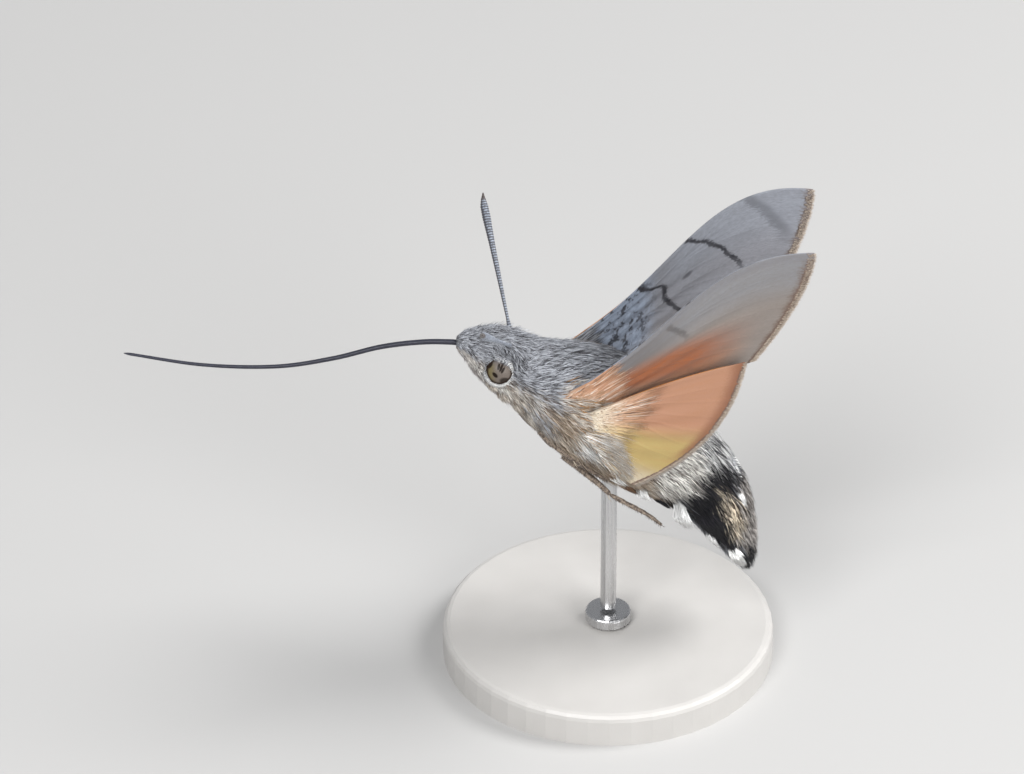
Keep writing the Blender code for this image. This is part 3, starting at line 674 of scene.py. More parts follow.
# veins as rows of v, u places, thick at the root
foreVeins = [
    [(0.05, 0.06), (0.30, 0.05), (0.55, 0.015)],
    [(0.05, 0.16), (0.30, 0.15), (0.50, 0.12), (0.80, 0.015)],
    [(0.50, 0.12), (0.75, 0.10), (0.98, 0.03)],
    [(0.50, 0.14), (0.78, 0.17), (0.985, 0.12)],
    [(0.50, 0.16), (0.78, 0.23), (0.985, 0.22)],
    [(0.53, 0.30), (0.76, 0.34), (0.985, 0.33)],
    [(0.53, 0.42), (0.76, 0.44), (0.985, 0.45)],
    [(0.05, 0.42), (0.35, 0.44), (0.53, 0.46), (0.76, 0.54), (0.985, 0.57)],
    [(0.47, 0.46), (0.70, 0.62), (0.985, 0.70)],
    [(0.34, 0.44), (0.62, 0.70), (0.985, 0.83)],
    [(0.05, 0.72), (0.40, 0.80), (0.70, 0.90), (0.985, 0.95)],
    [(0.51, 0.13), (0.545, 0.22), (0.53, 0.34), (0.53, 0.46)],
]
hindVeins = [
    [(0.05, 0.05), (0.40, 0.03), (0.97, 0.02)],
    [(0.05, 0.20), (0.45, 0.14), (0.97, 0.13)],
    [(0.42, 0.18), (0.70, 0.22), (0.98, 0.24)],
    [(0.44, 0.28), (0.70, 0.33), (0.98, 0.36)],
    [(0.05, 0.40), (0.44, 0.38), (0.70, 0.44), (0.98, 0.48)],
    [(0.36, 0.40), (0.68, 0.54), (0.98, 0.60)],
    [(0.05, 0.60), (0.50, 0.66), (0.98, 0.72)],
    [(0.05, 0.80), (0.50, 0.82), (0.98, 0.85)],
    [(0.42, 0.16), (0.45, 0.27), (0.44, 0.38)],
]


def bowed(start, end, bulge, skew, f):
    start, end = np.asarray(start, float), np.asarray(end, float)
    run = end - start
    left = np.array([-run[1], run[0]]) / np.hypot(*run)
    g = f ** skew
    return start + run * f[..., None] + left * (bulge * 4.0 * g * (1.0 - g))[..., None]


def between(front, rear, root, margin, u, v):
    one = np.ones(1)
    u1, v1 = u[..., None], v[..., None]
    corners = ((1 - u1) * (1 - v1) * root(0 * one) + u1 * (1 - v1) * root(one)
               + (1 - u1) * v1 * margin(0 * one) + u1 * v1 * margin(one))
    return ((1 - u1) * front(v) + u1 * rear(v) + (1 - v1) * root(u) + v1 * margin(u) - corners)


def forePlan(u, v):
    first, last = wing["foreRootEdge"]
    apex, tornus = (wing["foreLength"], 0.0), wing["foreTornus"]
    return between(lambda f: bowed(first, apex, -wing["costaBulge"], wing["costaSkew"], f),
                   lambda f: bowed(last, tornus, wing["rearBulge"], 1.0, f),
                   lambda f: bowed(first, last, 0.0, 1.0, f),
                   lambda f: bowed(apex, tornus, -wing["marginBulge"], 0.75, f), u, v)


def hindPlan(u, v):
    first, last = wing["hindRootEdge"]
    apex, anal = wing["hindApex"], wing["hindAnal"]
    return between(lambda f: bowed(first, apex, wing["hindFront"], 1.0, f),
                   lambda f: bowed(last, anal, wing["hindRear"], 1.0, f),
                   lambda f: bowed(first, last, 0.0, 1.0, f),
                   lambda f: bowed(apex, anal, wing["hindMargin"], 1.0, f), u, v)


def forePlace(span, chord, side):
    lean, rise = math.radians(wing["lean"][side]), math.radians(wing["rise"])
    feather = math.radians(wing["feather"])
    across = wing["foreRoot"][1] - math.sin(lean) * span - math.sin(feather) * chord
    span, chord = span * math.cos(lean), chord * math.cos(feather)
    return np.stack([wing["foreRoot"][0] + math.cos(rise) * span + math.sin(rise) * chord,
                     side * across,
                     wing["foreRoot"][2] + math.sin(rise) * span - math.cos(rise) * chord], -1)


def foreSurface(u, v, side):
    plan = forePlan(u, v)
    points = forePlace(plan[..., 0], plan[..., 1], side)
    points[..., 1] += side * wing["foreCamber"] * np.sin(math.pi * u) * np.sin(math.pi * v)
    return points


def hindSurface(u, v, side):
    plan = hindPlan(u, v)
    tornus = abs(forePlace(*wing["foreTornus"], side)[1])
    root = wing["hindRoot"]
    front = root[1] + (tornus + wing["step"] - root[1]) * v
    lower = root[1] + wing["hindFlare"] * np.minimum(1.0, v * 1.6)
    across = front * (1.0 - u) + lower * u
    across = across + wing["hindCamber"] * np.sin(math.pi * u) * np.sin(math.pi * v)
    return np.stack([root[0] + plan[..., 0], side * across, root[2] + plan[..., 1]], -1)


def surfaceWays(surface, u, v, side):
    # outward ways of a wing's surface, away from the moth's mid-plane
    step = 0.01
    u, v = np.clip(u, step, 1 - step), np.clip(v, step, 1 - step)
    way = np.cross(surface(u + step, v, side) - surface(u - step, v, side),
                   surface(u, v + step, side) - surface(u, v - step, side))
    way = unit(way)
    return way * np.where(way[..., 1:2] * side < 0, -1.0, 1.0)


def veinRidges(plan, veins, planOf):
    # how far the veins raise each place of the membrane
    ridge = np.zeros(plan.shape[:2])
    for vein in veins:
        places = smoothRoute([(u, v) for v, u in vein], 8 * len(vein))
        route = planOf(places[:, 0], places[:, 1])
        taper = np.interp(places[:, 1], [0.0, 1.0], [1.0, 0.45])
        for start, end, size in zip(route, route[1:], taper):
            run = end - start
            f = np.clip(((plan - start) @ run) / max(run @ run, 1e-9), 0, 1)
            away = np.linalg.norm(plan - start - f[..., None] * run, axis=-1)
            ridge = np.maximum(ridge, size * np.exp(-(away / (wing["veinWidth"] * size)) ** 2))
    return ridge * wing["veinHeight"]


def wingMesh(name, surface, planOf, veins, side, across, along, finishes):
    u, v = np.meshgrid(np.linspace(0, 1, across + 1), np.linspace(0, wing["membraneEnd"], along + 1),
                       indexing="ij")
    points, ways = surface(u, v, side), surfaceWays(surface, u, v, side)
    edge = np.minimum(1.0, 6.0 * np.minimum(np.minimum(u, 1 - u), wing["membraneEnd"] - v + 0.01))
    costa = 0.09 * np.exp(-(u / 0.03) ** 2) * (1.05 - v)
    half = wing["thickness"] * (0.35 + 0.65 * edge) + veinRidges(planOf(u, v), veins, planOf) + costa
    ripple = 0.05 * np.sin(u * 34.0 + v * 5.0) * np.sin(math.pi * v) * np.sin(math.pi * u)
    middle = points + ways * ripple[..., None]
    under, upper = middle + ways * half[..., None], middle - ways * half[..., None]
    count = (across + 1) * (along + 1)
    index = np.arange(count).reshape(across + 1, along + 1)
    quads = np.stack([index[:-1, :-1], index[1:, :-1], index[1:, 1:], index[:-1, 1:]], -1)
    quads = quads.reshape(-1, 4)
    flip = quads[:, ::-1]
    faceUnder, faceUpper = (flip, quads + count) if side > 0 else (quads, flip + count)
    rim = np.concatenate([index[:-1, 0], index[-1, :-1], index[:0:-1, -1], index[0, :0:-1]])
    ahead = np.roll(rim, -1)
    rimFaces = np.stack([rim, rim + count, ahead + count, ahead], -1)
    if side > 0:
        rimFaces = rimFaces[:, ::-1]
    corners = np.concatenate([faceUnder, faceUpper, rimFaces]).ravel()
    flatU, flatV = np.tile(u.ravel(), 2), np.tile(v.ravel(), 2)
    half2 = np.concatenate([np.zeros(count), np.full(count, 0.5)])
    bake = np.stack([half2 + 0.01 + 0.47 * flatU, 0.01 + 0.97 * flatV], -1)[corners]
    maps = {"OFBake": bake, "wingPlace": np.stack([flatU, flatV], -1)[corners]}
    made = makeMesh(name, np.concatenate([under.reshape(-1, 3), upper.reshape(-1, 3)]), corners,
                    np.full(len(corners) // 4, 4), maps, finishes[0])
    made.data.materials.append(finishes[1])
    whose = np.zeros(len(corners) // 4, np.int32)
    whose[len(faceUnder):] = 1
    made.data.polygons.foreach_set("material_index", whose)
    return made


def buildScaleGroup():
    # the grain of a wing's scales: fine rows of light and dark flecks along the wing
    net, given, result = newGroup("wingScales", {"Place": "vector", "Length": "value"},
                                  {"Mask": "value", "Height": "value"})
    rows = net.vector("MULTIPLY", given["Place"], (130.0, 60.0, 1.0))
    fine = net.noise(rows, 1.0, 3.0, 0.6)
    broad = net.noise(net.vector("MULTIPLY", given["Place"], (16.0, 7.0, 1.0)), 1.0, 3.0)
    mixed = net.calc("ADD", net.calc("MULTIPLY", fine, 0.65), net.calc("MULTIPLY", broad, 0.35))
    net.put(result["Mask"], net.ease(mixed, 0.36, 0.64))
    net.put(result["Height"], fine)
    return net.tree


scaleGroup = buildScaleGroup()


def curveLine(net, u, v, route, halfWidth, soft):
    # a mask along a line whose v follows u through the given places
    line = net.add("ShaderNodeFloatCurve")
    points = line.mapping.curves[0].points
    for _ in range(len(route) - 2):
        points.new(0.5, 0.5)
    for point, (here, there) in zip(points, route):
        point.location = (here, there)
    line.mapping.update()
    net.put(line.inputs["Value"], u)
    away = net.calc("ABSOLUTE", net.calc("SUBTRACT", v, line.outputs[0]))
    return net.ease(away, halfWidth + soft, halfWidth)


def wingStart(name):
    finish, net, shader = newFinish(name, 0.58, Sheen_Weight=0.08, Sheen_Roughness=0.4,
                                    Specular_IOR_Level=0.35)
    where = net.map("wingPlace")
    u, v, _ = net.split(where)
    scales = useGroup(net, scaleGroup, Place=where)
    wander = net.calc("MULTIPLY_ADD", scales["Mask"], 0.016, -0.008)
    addBump(net, shader, scales["Height"], 0.35, 0.06)
    return finish, net, shader, u, net.calc("ADD", v, wander), scales["Mask"]


def foreUpperFinish():
    finish, net, shader, u, v, grain = wingStart("foreUpper")
    ground = net.blend(net.ease(u, 0.55, 1.0), (0.238, 0.240, 0.262), (0.275, 0.240, 0.215))
    light = net.calc("MULTIPLY", net.ease(u, 0.45, 0.12), net.ease(v, 0.36, 0.55))
    ground = net.blend(net.calc("MULTIPLY", light, 0.40), ground, (0.30, 0.33, 0.38))
    base = net.calc("MULTIPLY", net.ease(v, 0.44, 0.30), net.ease(u, 1.0, 0.75))
    ground = net.blend(base, ground, (0.235, 0.272, 0.340))
    rows = net.noise(net.vector("MULTIPLY", net.map("wingPlace"), (6.5, 22.0, 1.0)), 1.0, 6.0, 0.68)
    costa = net.calc("MULTIPLY", net.ease(u, 0.26, 0.04), net.ease(v, 0.06, 0.16))
    pale = net.calc("MAXIMUM", net.ease(rows, 0.49, 0.38), net.calc("MULTIPLY", costa, 0.6))
    ground = net.blend(net.calc("MULTIPLY", pale, net.calc("MULTIPLY", base, 0.8)), ground,
                       (0.34, 0.40, 0.50))
    dark = net.calc("MULTIPLY", net.ease(rows, 0.525, 0.575), net.calc("MULTIPLY", base, 0.9))
    dark = net.calc("MULTIPLY", dark, net.ease(v, 0.06, 0.14))
    colour = net.blend(dark, ground, (0.022, 0.023, 0.03))
    inner = curveLine(net, u, v, [(0.0, 0.335), (0.07, 0.35), (0.17, 0.39), (0.22, 0.43),
                                  (0.40, 0.445), (0.57, 0.50), (0.70, 0.555), (0.80, 0.578),
                                  (1.0, 0.60)], 0.007, 0.008)
    inner = net.calc("MULTIPLY", inner, net.ease(u, 0.95, 0.72, 0.25, 1.0))
    outer = curveLine(net, u, v, [(0.0, 0.555), (0.05, 0.575), (0.12, 0.62), (0.24, 0.68),
                                  (0.38, 0.745), (0.47, 0.79), (0.75, 0.86), (1.0, 0.90)],
                      0.006, 0.009)
    outer = net.calc("MULTIPLY", outer, net.ease(u, 0.62, 0.38, 0.16, 1.0))
    tip = curveLine(net, u, v, [(0.0, 0.79), (0.10, 0.84), (0.20, 0.885), (0.33, 0.93),
                                (1.0, 0.97)], 0.004, 0.030)
    tip = net.calc("MULTIPLY", tip, net.ease(u, 0.42, 0.22, 0.0, 0.40))
    spot = net.vector("DISTANCE", net.map("wingPlace"), (0.33, 0.55, 0.0), out=1)
    for mask in (inner, outer, tip, net.ease(spot, 0.035, 0.012, 0.0, 0.6)):
        colour = net.blend(mask, colour, (0.022, 0.022, 0.028))
    edge = net.ease(v, 0.945, 0.965)
    colour = net.blend(net.calc("MULTIPLY", edge, 0.8), colour, (0.14, 0.10, 0.08))
    colour = net.blend(net.calc("MULTIPLY", grain, 0.34), colour, (0.11, 0.11, 0.12))
    net.put(shader.inputs["Base Color"], colour)
    return finish


def foreUnderFinish():
    finish, net, shader, u, v, grain = wingStart("foreUnder")
    ground = net.blend(net.ease(u, 0.15, 0.45), (0.220, 0.220, 0.230), (0.235, 0.205, 0.185))
    warm = net.calc("MULTIPLY", net.ease(v, 0.50, 0.25), net.ease(u, 0.14, 0.36, 0.0, 0.85))
    ground = net.blend(warm, ground, (0.30, 0.22, 0.16))
    shaded = net.calc("MULTIPLY", net.ease(v, 0.62, 0.30), net.ease(u, 0.50, 0.25, 0.0, 0.75))
    ground = net.blend(shaded, ground, (0.135, 0.125, 0.125))
    rear = net.calc("MULTIPLY", net.ease(u, 0.55, 0.85), net.ease(v, 0.95, 0.65))
    ground = net.blend(rear, ground, (0.30, 0.175, 0.112))
    rust = net.add("ShaderNodeFloatCurve")
    points = rust.mapping.curves[0].points
    route = [(0.0, 0.42), (0.13, 0.43), (0.30, 0.49), (0.46, 0.57), (0.56, 0.62), (0.66, 0.66),
             (0.80, 0.69), (1.0, 0.70)]
    for _ in range(len(route) - 2):
        points.new(0.5, 0.5)
    for point, (here, there) in zip(points, route):
        point.location = (here, there)
    rust.mapping.update()
    net.put(rust.inputs["Value"], v)
    away = net.calc("ABSOLUTE", net.calc("SUBTRACT", u, rust.outputs[0]))
    streak = net.calc("MULTIPLY", net.ease(away, 0.30, 0.07), net.ease(v, 0.92, 0.55))
    streak = net.calc("MULTIPLY", streak, net.ease(v, 0.02, 0.18, 0.45, 1.0))
    colour = net.blend(streak, ground, (0.285, 0.088, 0.030))
    wash = net.calc("MULTIPLY", net.ease(away, 0.42, 0.14), net.ease(v, 0.28, 0.04))
    colour = net.blend(wash, colour, (0.40, 0.29, 0.17))
    line = curveLine(net, u, v, [(0.0, 0.455), (0.12, 0.475), (0.25, 0.52), (0.35, 0.545),
                                 (1.0, 0.62)], 0.006, 0.012)
    line = net.calc("MULTIPLY", line, net.ease(u, 0.42, 0.25, 0.0, 0.55))
    colour = net.blend(line, colour, (0.05, 0.045, 0.045))
    brown = net.noise(net.vector("MULTIPLY", net.map("wingPlace"), (9.0, 16.0, 1.0)), 1.0, 2.0)
    brown = net.calc("MULTIPLY", net.ease(brown, 0.55, 0.68), net.calc("MULTIPLY", rear, 0.30))
    colour = net.blend(brown, colour, (0.17, 0.10, 0.07))
    edge = net.calc("MULTIPLY", net.ease(v, 0.935, 0.965), net.ease(u, 0.0, 0.2, 0.5, 0.9))
    colour = net.blend(edge, colour, (0.13, 0.075, 0.05))
    colour = net.blend(net.ease(u, 0.08, 0.03), colour, (0.21, 0.21, 0.225))
    # painted light: paler at the root's front corner, lifting the shade that falls there from the coat
    corner = net.calc("MULTIPLY", net.ease(u, 0.40, 0.15), net.ease(v, 0.14, 0.05))
    colour = net.blend(corner, colour, (0.44, 0.40, 0.37))
    colour = net.blend(net.calc("MULTIPLY", grain, 0.26), colour, (0.16, 0.13, 0.11))
    net.put(shader.inputs["Base Color"], colour)
    return finish


def hindUnderFinish():
    finish, net, shader, u, v, grain = wingStart("hindUnder")
    lower = net.ease(u, 0.40, 0.62)
    colour = net.blend(lower, (0.375, 0.195, 0.122), (0.385, 0.292, 0.112))
    root = net.ease(v, 0.42, 0.10)
    colour = net.blend(net.calc("MULTIPLY", root, 0.8), colour, (0.50, 0.42, 0.30))
    anal = net.calc("MULTIPLY", net.ease(u, 0.78, 0.98), 0.8)
    colour = net.blend(anal, colour, (0.52, 0.47, 0.38))
    edge = net.calc("MULTIPLY", net.ease(v, 0.86, 0.955), net.ease(u, 0.78, 0.60, 0.0, 0.9))
    colour = net.blend(edge, colour, (0.20, 0.085, 0.05))
    rays = net.noise(net.vector("MULTIPLY", net.map("wingPlace"), (26.0, 2.2, 1.0)), 1.0, 3.0)
    rays = net.calc("MULTIPLY", net.ease(rays, 0.50, 0.66), net.ease(v, 0.7, 0.2, 0.10, 0.5))
    colour = net.blend(rays, colour, (0.40, 0.17, 0.07))
    colour = net.blend(net.calc("MULTIPLY", grain, 0.20), colour, (0.35, 0.17, 0.07))
    net.put(shader.inputs["Base Color"], colour)
    return finish


def hindUpperFinish():
    finish, net, shader, u, v, grain = wingStart("hindUpper")
    colour = net.blend(net.ease(u, 0.35, 0.75), (0.62, 0.24, 0.04), (0.62, 0.34, 0.06))
    root = net.ease(v, 0.30, 0.05)
    colour = net.blend(net.calc("MULTIPLY", root, 0.7), colour, (0.22, 0.12, 0.07))
    edge = net.calc("MULTIPLY", net.ease(v, 0.80, 0.90), net.ease(u, 0.95, 0.70, 0.1, 1.0))
    colour = net.blend(edge, colour, (0.07, 0.035, 0.025))
    colour = net.blend(net.calc("MULTIPLY", grain, 0.25), colour, (0.26, 0.10, 0.03))
    net.put(shader.inputs["Base Color"], colour)
    return finish


def fringeFinish():
    finish, net, shader = newFinish("wingFringe", 0.7, Sheen_Weight=0.2)
    grain, along, _ = net.split(net.map("coatGrain"))
    colour = net.blend(net.ease(grain, 0.3, 0.9), (0.46, 0.38, 0.30), (0.27, 0.20, 0.15))
    colour = net.blend(net.ease(along, 0.12, 0.42), (0.16, 0.10, 0.07), colour)
    net.put(shader.inputs["Base Color"], colour)
    return finish


fringeScales = fringeFinish()


def growFringe(name, surface, side, count, length, slot, seed):
    # short scales in the wing's plane along its outer margin
    rng = np.random.default_rng(seed)
    u = rng.uniform(0.005, 0.995, count)
    v = wing["membraneEnd"] - rng.uniform(0.004, 0.02, count)
    start, ways = surface(u, v, side), surfaceWays(surface, u, v, side)
    out = unit(surface(u, v + 0.012, side) - surface(u, v - 0.012, side))
    sway = unit(surface(u + 0.004, v, side) - surface(u - 0.004, v, side))
    run = unit(out + sway * rng.normal(0, 0.08, count)[:, None]) * (
        length * (0.6 + 0.4 * u) * rng.uniform(0.80, 1.12, count))[:, None]
    t = np.linspace(0, 1, 2)
    drift = rng.uniform(-0.045, 0.045, count)
    spine = (start[:, None] + run[:, None] * t[None, :, None]
             + ways[:, None] * (drift[:, None] * (0.6 + 0.8 * t[None]))[..., None])
    roots = np.stack([0.01 + 0.47 * u, 0.01 + 0.97 * v], -1)
    return growTufts(name, spine, np.repeat(ways[:, None], 2, 1),
                     0.030 * rng.uniform(0.8, 1.2, count), roots, roots, rng.random(count),
                     [1.0], slot, fringeScales, 0.35)


def buildWings():
    fore, hind = (foreUnderFinish(), foreUpperFinish()), (hindUnderFinish(), hindUpperFinish())
    for side, word in sideNames.items():
        place(wingMesh("forewing_scales_" + word, foreSurface, forePlan, foreVeins, side, 120, 150,
                       fore), "forewing", "forewing_" + word)
        place(wingMesh("hindwing_scales_" + word, hindSurface, hindPlan, hindVeins, side, 110, 80,
                       hind), "hindwing", "hindwing_" + word)
        growFringe("forewing_fringe_" + word, foreSurface, side, 4200, 0.50, "forewing", 31)
        growFringe("hindwing_fringe_" + word, hindSurface, side, 3600, 0.52, "hindwing", 33)


buildWings()
print("wings built")


# Eyes with their dark spots, and the ring of fine hair that frames them

eye["spots"] = [
    # across and up as seen from the side and above, half width, half height, tilt, darkness
    (-0.08, 0.22, 0.095, 0.25, 14, 0.98), (0.09, 0.14, 0.095, 0.31, 22, 0.98),
    (0.21, -0.02, 0.090, 0.26, 30, 0.96), (-0.33, -0.34, 0.13, 0.25, -45, 0.98),
    (-0.70, 0.42, 0.22, 0.34, 20, 0.95), (0.46, -0.82, 0.52, 0.30, 14, 0.85),
    (0.82, 0.10, 0.16, 0.42, 0, 0.60),
]


def buildEyeFinish():
    finish, net, shader = newFinish("eye", 0.36, Coat_Weight=0.05, Coat_Roughness=0.08,
                                    Specular_IOR_Level=0.10)
    where = net.vector("SCALE", net.add("ShaderNodeTexCoord").outputs["Object"])
    net.put(where.node.inputs["Scale"], 1.0 / mm)
    x, y, z = net.split(where)
    centre = np.array(eye["centre"]) + thoraxPlace
    away = net.vector("SUBTRACT", net.join(x, net.calc("ABSOLUTE", y), z), tuple(centre))
    across, _, _ = net.split(away)
    up = net.vector("DOT_PRODUCT", away, (0.0, -0.559, 0.829), out=1)
    depth = net.vector("DOT_PRODUCT", away, (0.0, 0.829, 0.559), out=1)
    colour = net.blend(net.ease(across, -0.15, -0.75), (0.145, 0.122, 0.106), (0.165, 0.135, 0.064))
    colour = net.blend(net.ease(up, 0.15, 0.75, 0.0, 0.8), colour, (0.15, 0.135, 0.14))
    cells = net.add("ShaderNodeTexVoronoi", feature="DISTANCE_TO_EDGE")
    net.put(cells.inputs["Vector"], where)
    cells.inputs["Scale"].default_value = 17.0
    colour = net.blend(net.ease(cells.outputs[0], 0.0, 0.16, 0.35, 0.0), colour, (0.04, 0.03, 0.02))
    front = net.calc("GREATER_THAN", depth, 0.0)
    for right, high, wide, tall, tilt, dark in eye["spots"]:
        turn = math.radians(tilt)
        spot = net.join(net.calc("SUBTRACT", across, right), net.calc("SUBTRACT", up, high))
        p = net.vector("DOT_PRODUCT", spot, (math.cos(turn) / wide, -math.sin(turn) / wide, 0.0), out=1)
        q = net.vector("DOT_PRODUCT", spot, (math.sin(turn) / tall, math.cos(turn) / tall, 0.0), out=1)
        distance = net.vector("LENGTH", net.join(p, q), out=1)
        mask = net.calc("MULTIPLY", net.ease(distance, 1.15, 0.70, 0.0, dark), front)
        colour = net.blend(mask, colour, (0.010, 0.006, 0.004))
    axis = unit(np.array(eye["axis"]))
    slope = net.vector("DOT_PRODUCT", net.vector("NORMALIZE", away), tuple(axis), out=1)
    rim = math.cos(math.radians(eye["opening"] - 1.0))
    colour = net.blend(net.ease(slope, rim + 0.16, rim + 0.02, 0.0, 0.94), colour,
                       (0.022, 0.012, 0.008))
    colour = net.blend(net.ease(slope, rim - 0.20, rim - 0.32), colour, (0.42, 0.40, 0.39))
    net.put(shader.inputs["Base Color"], colour)
    addBump(net, shader, cells.outputs[0], 0.35, 0.012)
    return finish


def buildEyes():
    finish = buildEyeFinish()
    rng = np.random.default_rng(41)
    for side, word in sideNames.items():
        mirror = np.array([1.0, side, 1.0])
        centre, axis = np.array(eye["centre"]) * mirror, unit(np.array(eye["axis"]) * mirror)
        across = unit(np.cross(axis, (1.0, 0.0, 0.0)))
        other = np.cross(axis, across)
        turns = np.linspace(0, 2 * math.pi, 64, endpoint=False)
        polar = np.radians(np.linspace(2.0, 178.0, 40))
        ring = np.cos(turns)[:, None] * across + np.sin(turns)[:, None] * other
        rows = centre + eye["radius"] * (np.cos(polar)[:, None, None] * axis
                                         + np.sin(polar)[:, None, None] * ring[None])
        place(gridMesh("eyeball_" + word, rows, finish, turned=True), "eye", "eye_" + word)
        count = 3400
        turn = rng.uniform(0, 2 * math.pi, count)
        flat = np.cos(turn)[:, None] * across + np.sin(turn)[:, None] * other
        up = flat @ np.array([0.0, 0.0, 1.0])
        rearward = flat[:, 0]
        brow = np.clip(up * 1.5 + rearward * 0.35 - 0.30, 0, 1)   # the crown's hair hangs over
        front = np.clip(up * 0.8 - rearward * 0.8 - 0.55, 0, 1)   # the opening's front corner
        start = np.radians(eye["opening"] + 9.0 * front + rng.uniform(0.0, 13.0, count))
        sweep = np.radians(np.where(rng.random(count) < 0.7, rng.uniform(8, 20, count), -4.0))
        hang = np.radians(rng.uniform(6, 27, count) + 8.0 * np.clip(rearward, -0.5, 1))
        reach = start + sweep * (1 - brow) - hang * brow
        t = np.linspace(0, 1, 3)[None]
        angle = start[:, None] + (reach - start)[:, None] * t
        lean = np.radians(rng.normal(0, 7, count))[:, None] * t
        way = (np.cos(angle)[..., None] * axis
               + np.sin(angle)[..., None] * (np.cos(lean)[..., None] * flat[:, None]
                                             + np.sin(lean)[..., None]
                                             * np.cross(axis, flat)[:, None]))
        height = eye["radius"] + np.array([-0.06, 0.05, 0.10])[None] * rng.uniform(0.7, 1.2, (count, 1))
        spine = centre + way * height[..., None]
        pale = np.interp(up - 0.35 * rearward, [-0.30, -0.05, 0.25, 0.6], [1.0, 0.75, 0.45, 0.15])
        marks = np.where((rng.random(count) < pale)[:, None], paletteWhite, paletteGrey)
        growTufts("eye_fringe_" + word, spine, way, 0.019 * rng.uniform(0.8, 1.2, count),
                  rootMap(*placeOnBody(spine[:, 0])),
                  marks, rng.random(count), [0.9, 0.8])


buildEyes()
print("eyes built")


# Palps, the blunt cone of scales under the snout

palp = {
    "root": (-5.55, 0.80, 1.20), "tip": (-7.72, 0.58, 3.45), "rootRadius": 0.46,
    "tipRadius": 0.33, "tufts": 4700,
}


def buildPalps():
    rng = np.random.default_rng(43)
    skin = skinFinish()
    for side, word in sideNames.items():
        mirror = np.array([1.0, side, 1.0])
        root, tip = np.array(palp["root"]) * mirror, np.array(palp["tip"]) * mirror
        along = unit(tip - root)
        t = np.linspace(-0.16, 1.12, 28)
        radius = palp["rootRadius"] + (palp["tipRadius"] - palp["rootRadius"]) * t
        ends = np.minimum(1.0, np.minimum((t + 0.161) / 0.16, (1.121 - t) / 0.12))
        radius = radius * np.sqrt(np.clip(ends * (2 - ends), 0.0004, 1))
        rows = tubeRows(root + (tip - root) * t[:, None], radius, 24)
        whiteMap = {"coatPlace": lambda uv: np.tile(np.array(paletteWhite) / markScale, (len(uv), 1))}
        place(gridMesh("palp_skin_" + word, rows, skin, extra=whiteMap), "palp", "palp_" + word)
        n = palp["tufts"]
        f, turn = rng.uniform(-0.12, 1.02, n), rng.uniform(0, 2 * math.pi, n)
        sideWay = unit(np.cross(along, (0.0, 1.0, 0.0)))
        other = np.cross(along, sideWay)
        way = np.cos(turn)[:, None] * sideWay + np.sin(turn)[:, None] * other
        r = np.interp(f, t, radius)
        start = root + (tip - root) * f[:, None] + way * (r - 0.06)[:, None]
        length = rng.uniform(0.38, 0.62, n)
        sway = np.cross(along, way) * rng.normal(0, 0.16, n)[:, None]
        run = unit(along + sway) * length[:, None]
        rise = np.array([0.0, 0.10, 0.14])[None, :, None] * way[:, None]
        tall = np.linspace(0, 1, 3)[None, :, None]
        pull = np.clip(f, 0, 1)[:, None, None] * tall ** 2 * way[:, None] * -0.16
        spine = start[:, None] + run[:, None] * tall + rise + pull
        keep = clearOfEyes(spine)
        upper = way[:, 0] * -0.15 + way[:, 2] * 0.5 + np.abs(way[:, 1]) * 0.45 + f * 0.25 > 0.44
        marks = np.where(upper[:, None], paletteGrey, paletteWhite)
        roots = rootMap(1.0 + 3.0 * (1 - np.clip(f, 0, 1)), side * (120.0 + 30 * np.cos(turn)))
        growTufts("palp_scales_" + word, spine[keep], np.repeat(way[keep, None], 3, 1),
                  0.024 * rng.uniform(0.8, 1.2, keep.sum()), roots[keep], marks[keep],
                  rng.random(keep.sum()), [0.85, 0.9], "palp")


buildPalps()
print("palps built")


# Proboscis and antennae

proboscis = {
    "route": [(-8.0, 3.98), (-9.05, 4.12), (-11.1, 4.10), (-13.8, 3.70), (-17.1, 2.75),
              (-21.0, 2.10), (-26.0, 2.25), (-31.3, 3.20)],
    "radius": 0.20, "tipRadius": 0.10,
}
feeler = {
    "at": 2.75, "around": 36.0, "length": 9.4, "way": (-0.194, 0.775, 0.600), "hook": 0.12,
    "base": 0.100, "club": 0.275, "rings": 54, "sunk": 0.75,
}


def buildProboscis():
    finish, net, shader = newFinish("proboscisHorn", 0.32, Coat_Weight=0.15, Coat_Roughness=0.12,
                                    Specular_IOR_Level=0.30)
    where = net.map("OFBake")
    u, v, _ = net.split(where)
    tone = net.noise(net.vector("MULTIPLY", where, (3.0, 60.0, 1.0)), 1.0, 3.0)
    colour = net.blend(tone, (0.012, 0.012, 0.018), (0.035, 0.037, 0.055))
    net.put(shader.inputs["Base Color"], net.blend(net.ease(v, 0.05, 0.0), colour, (0.10, 0.08, 0.07)))
    rings = net.calc("SINE", net.calc("MULTIPLY", v, 1500.0))
    addBump(net, shader, rings, 0.25, 0.02)
    route = np.array([(x, 0.0, z) for x, z in proboscis["route"]])
    points = smoothRoute(route, 260)
    f = np.linspace(0, 1, 260)
    radii = proboscis["radius"] + (proboscis["tipRadius"] - proboscis["radius"]) * f ** 1.6
    radii = radii * (1.0 - 0.75 * np.clip((f - 0.985) / 0.015, 0, 1) ** 2)
    rows = tubeRows(points, radii, 28)
    turns = np.linspace(0, 2 * math.pi, 28, endpoint=False)
    groove = 1.0 - 0.22 * np.abs(np.sin(turns)) ** 14        # the seam between the two halves
    rows = points[:, None] + (rows - points[:, None]) * groove[None, :, None]
    place(gridMesh("proboscis_tube", rows, finish), "proboscis", "proboscis")


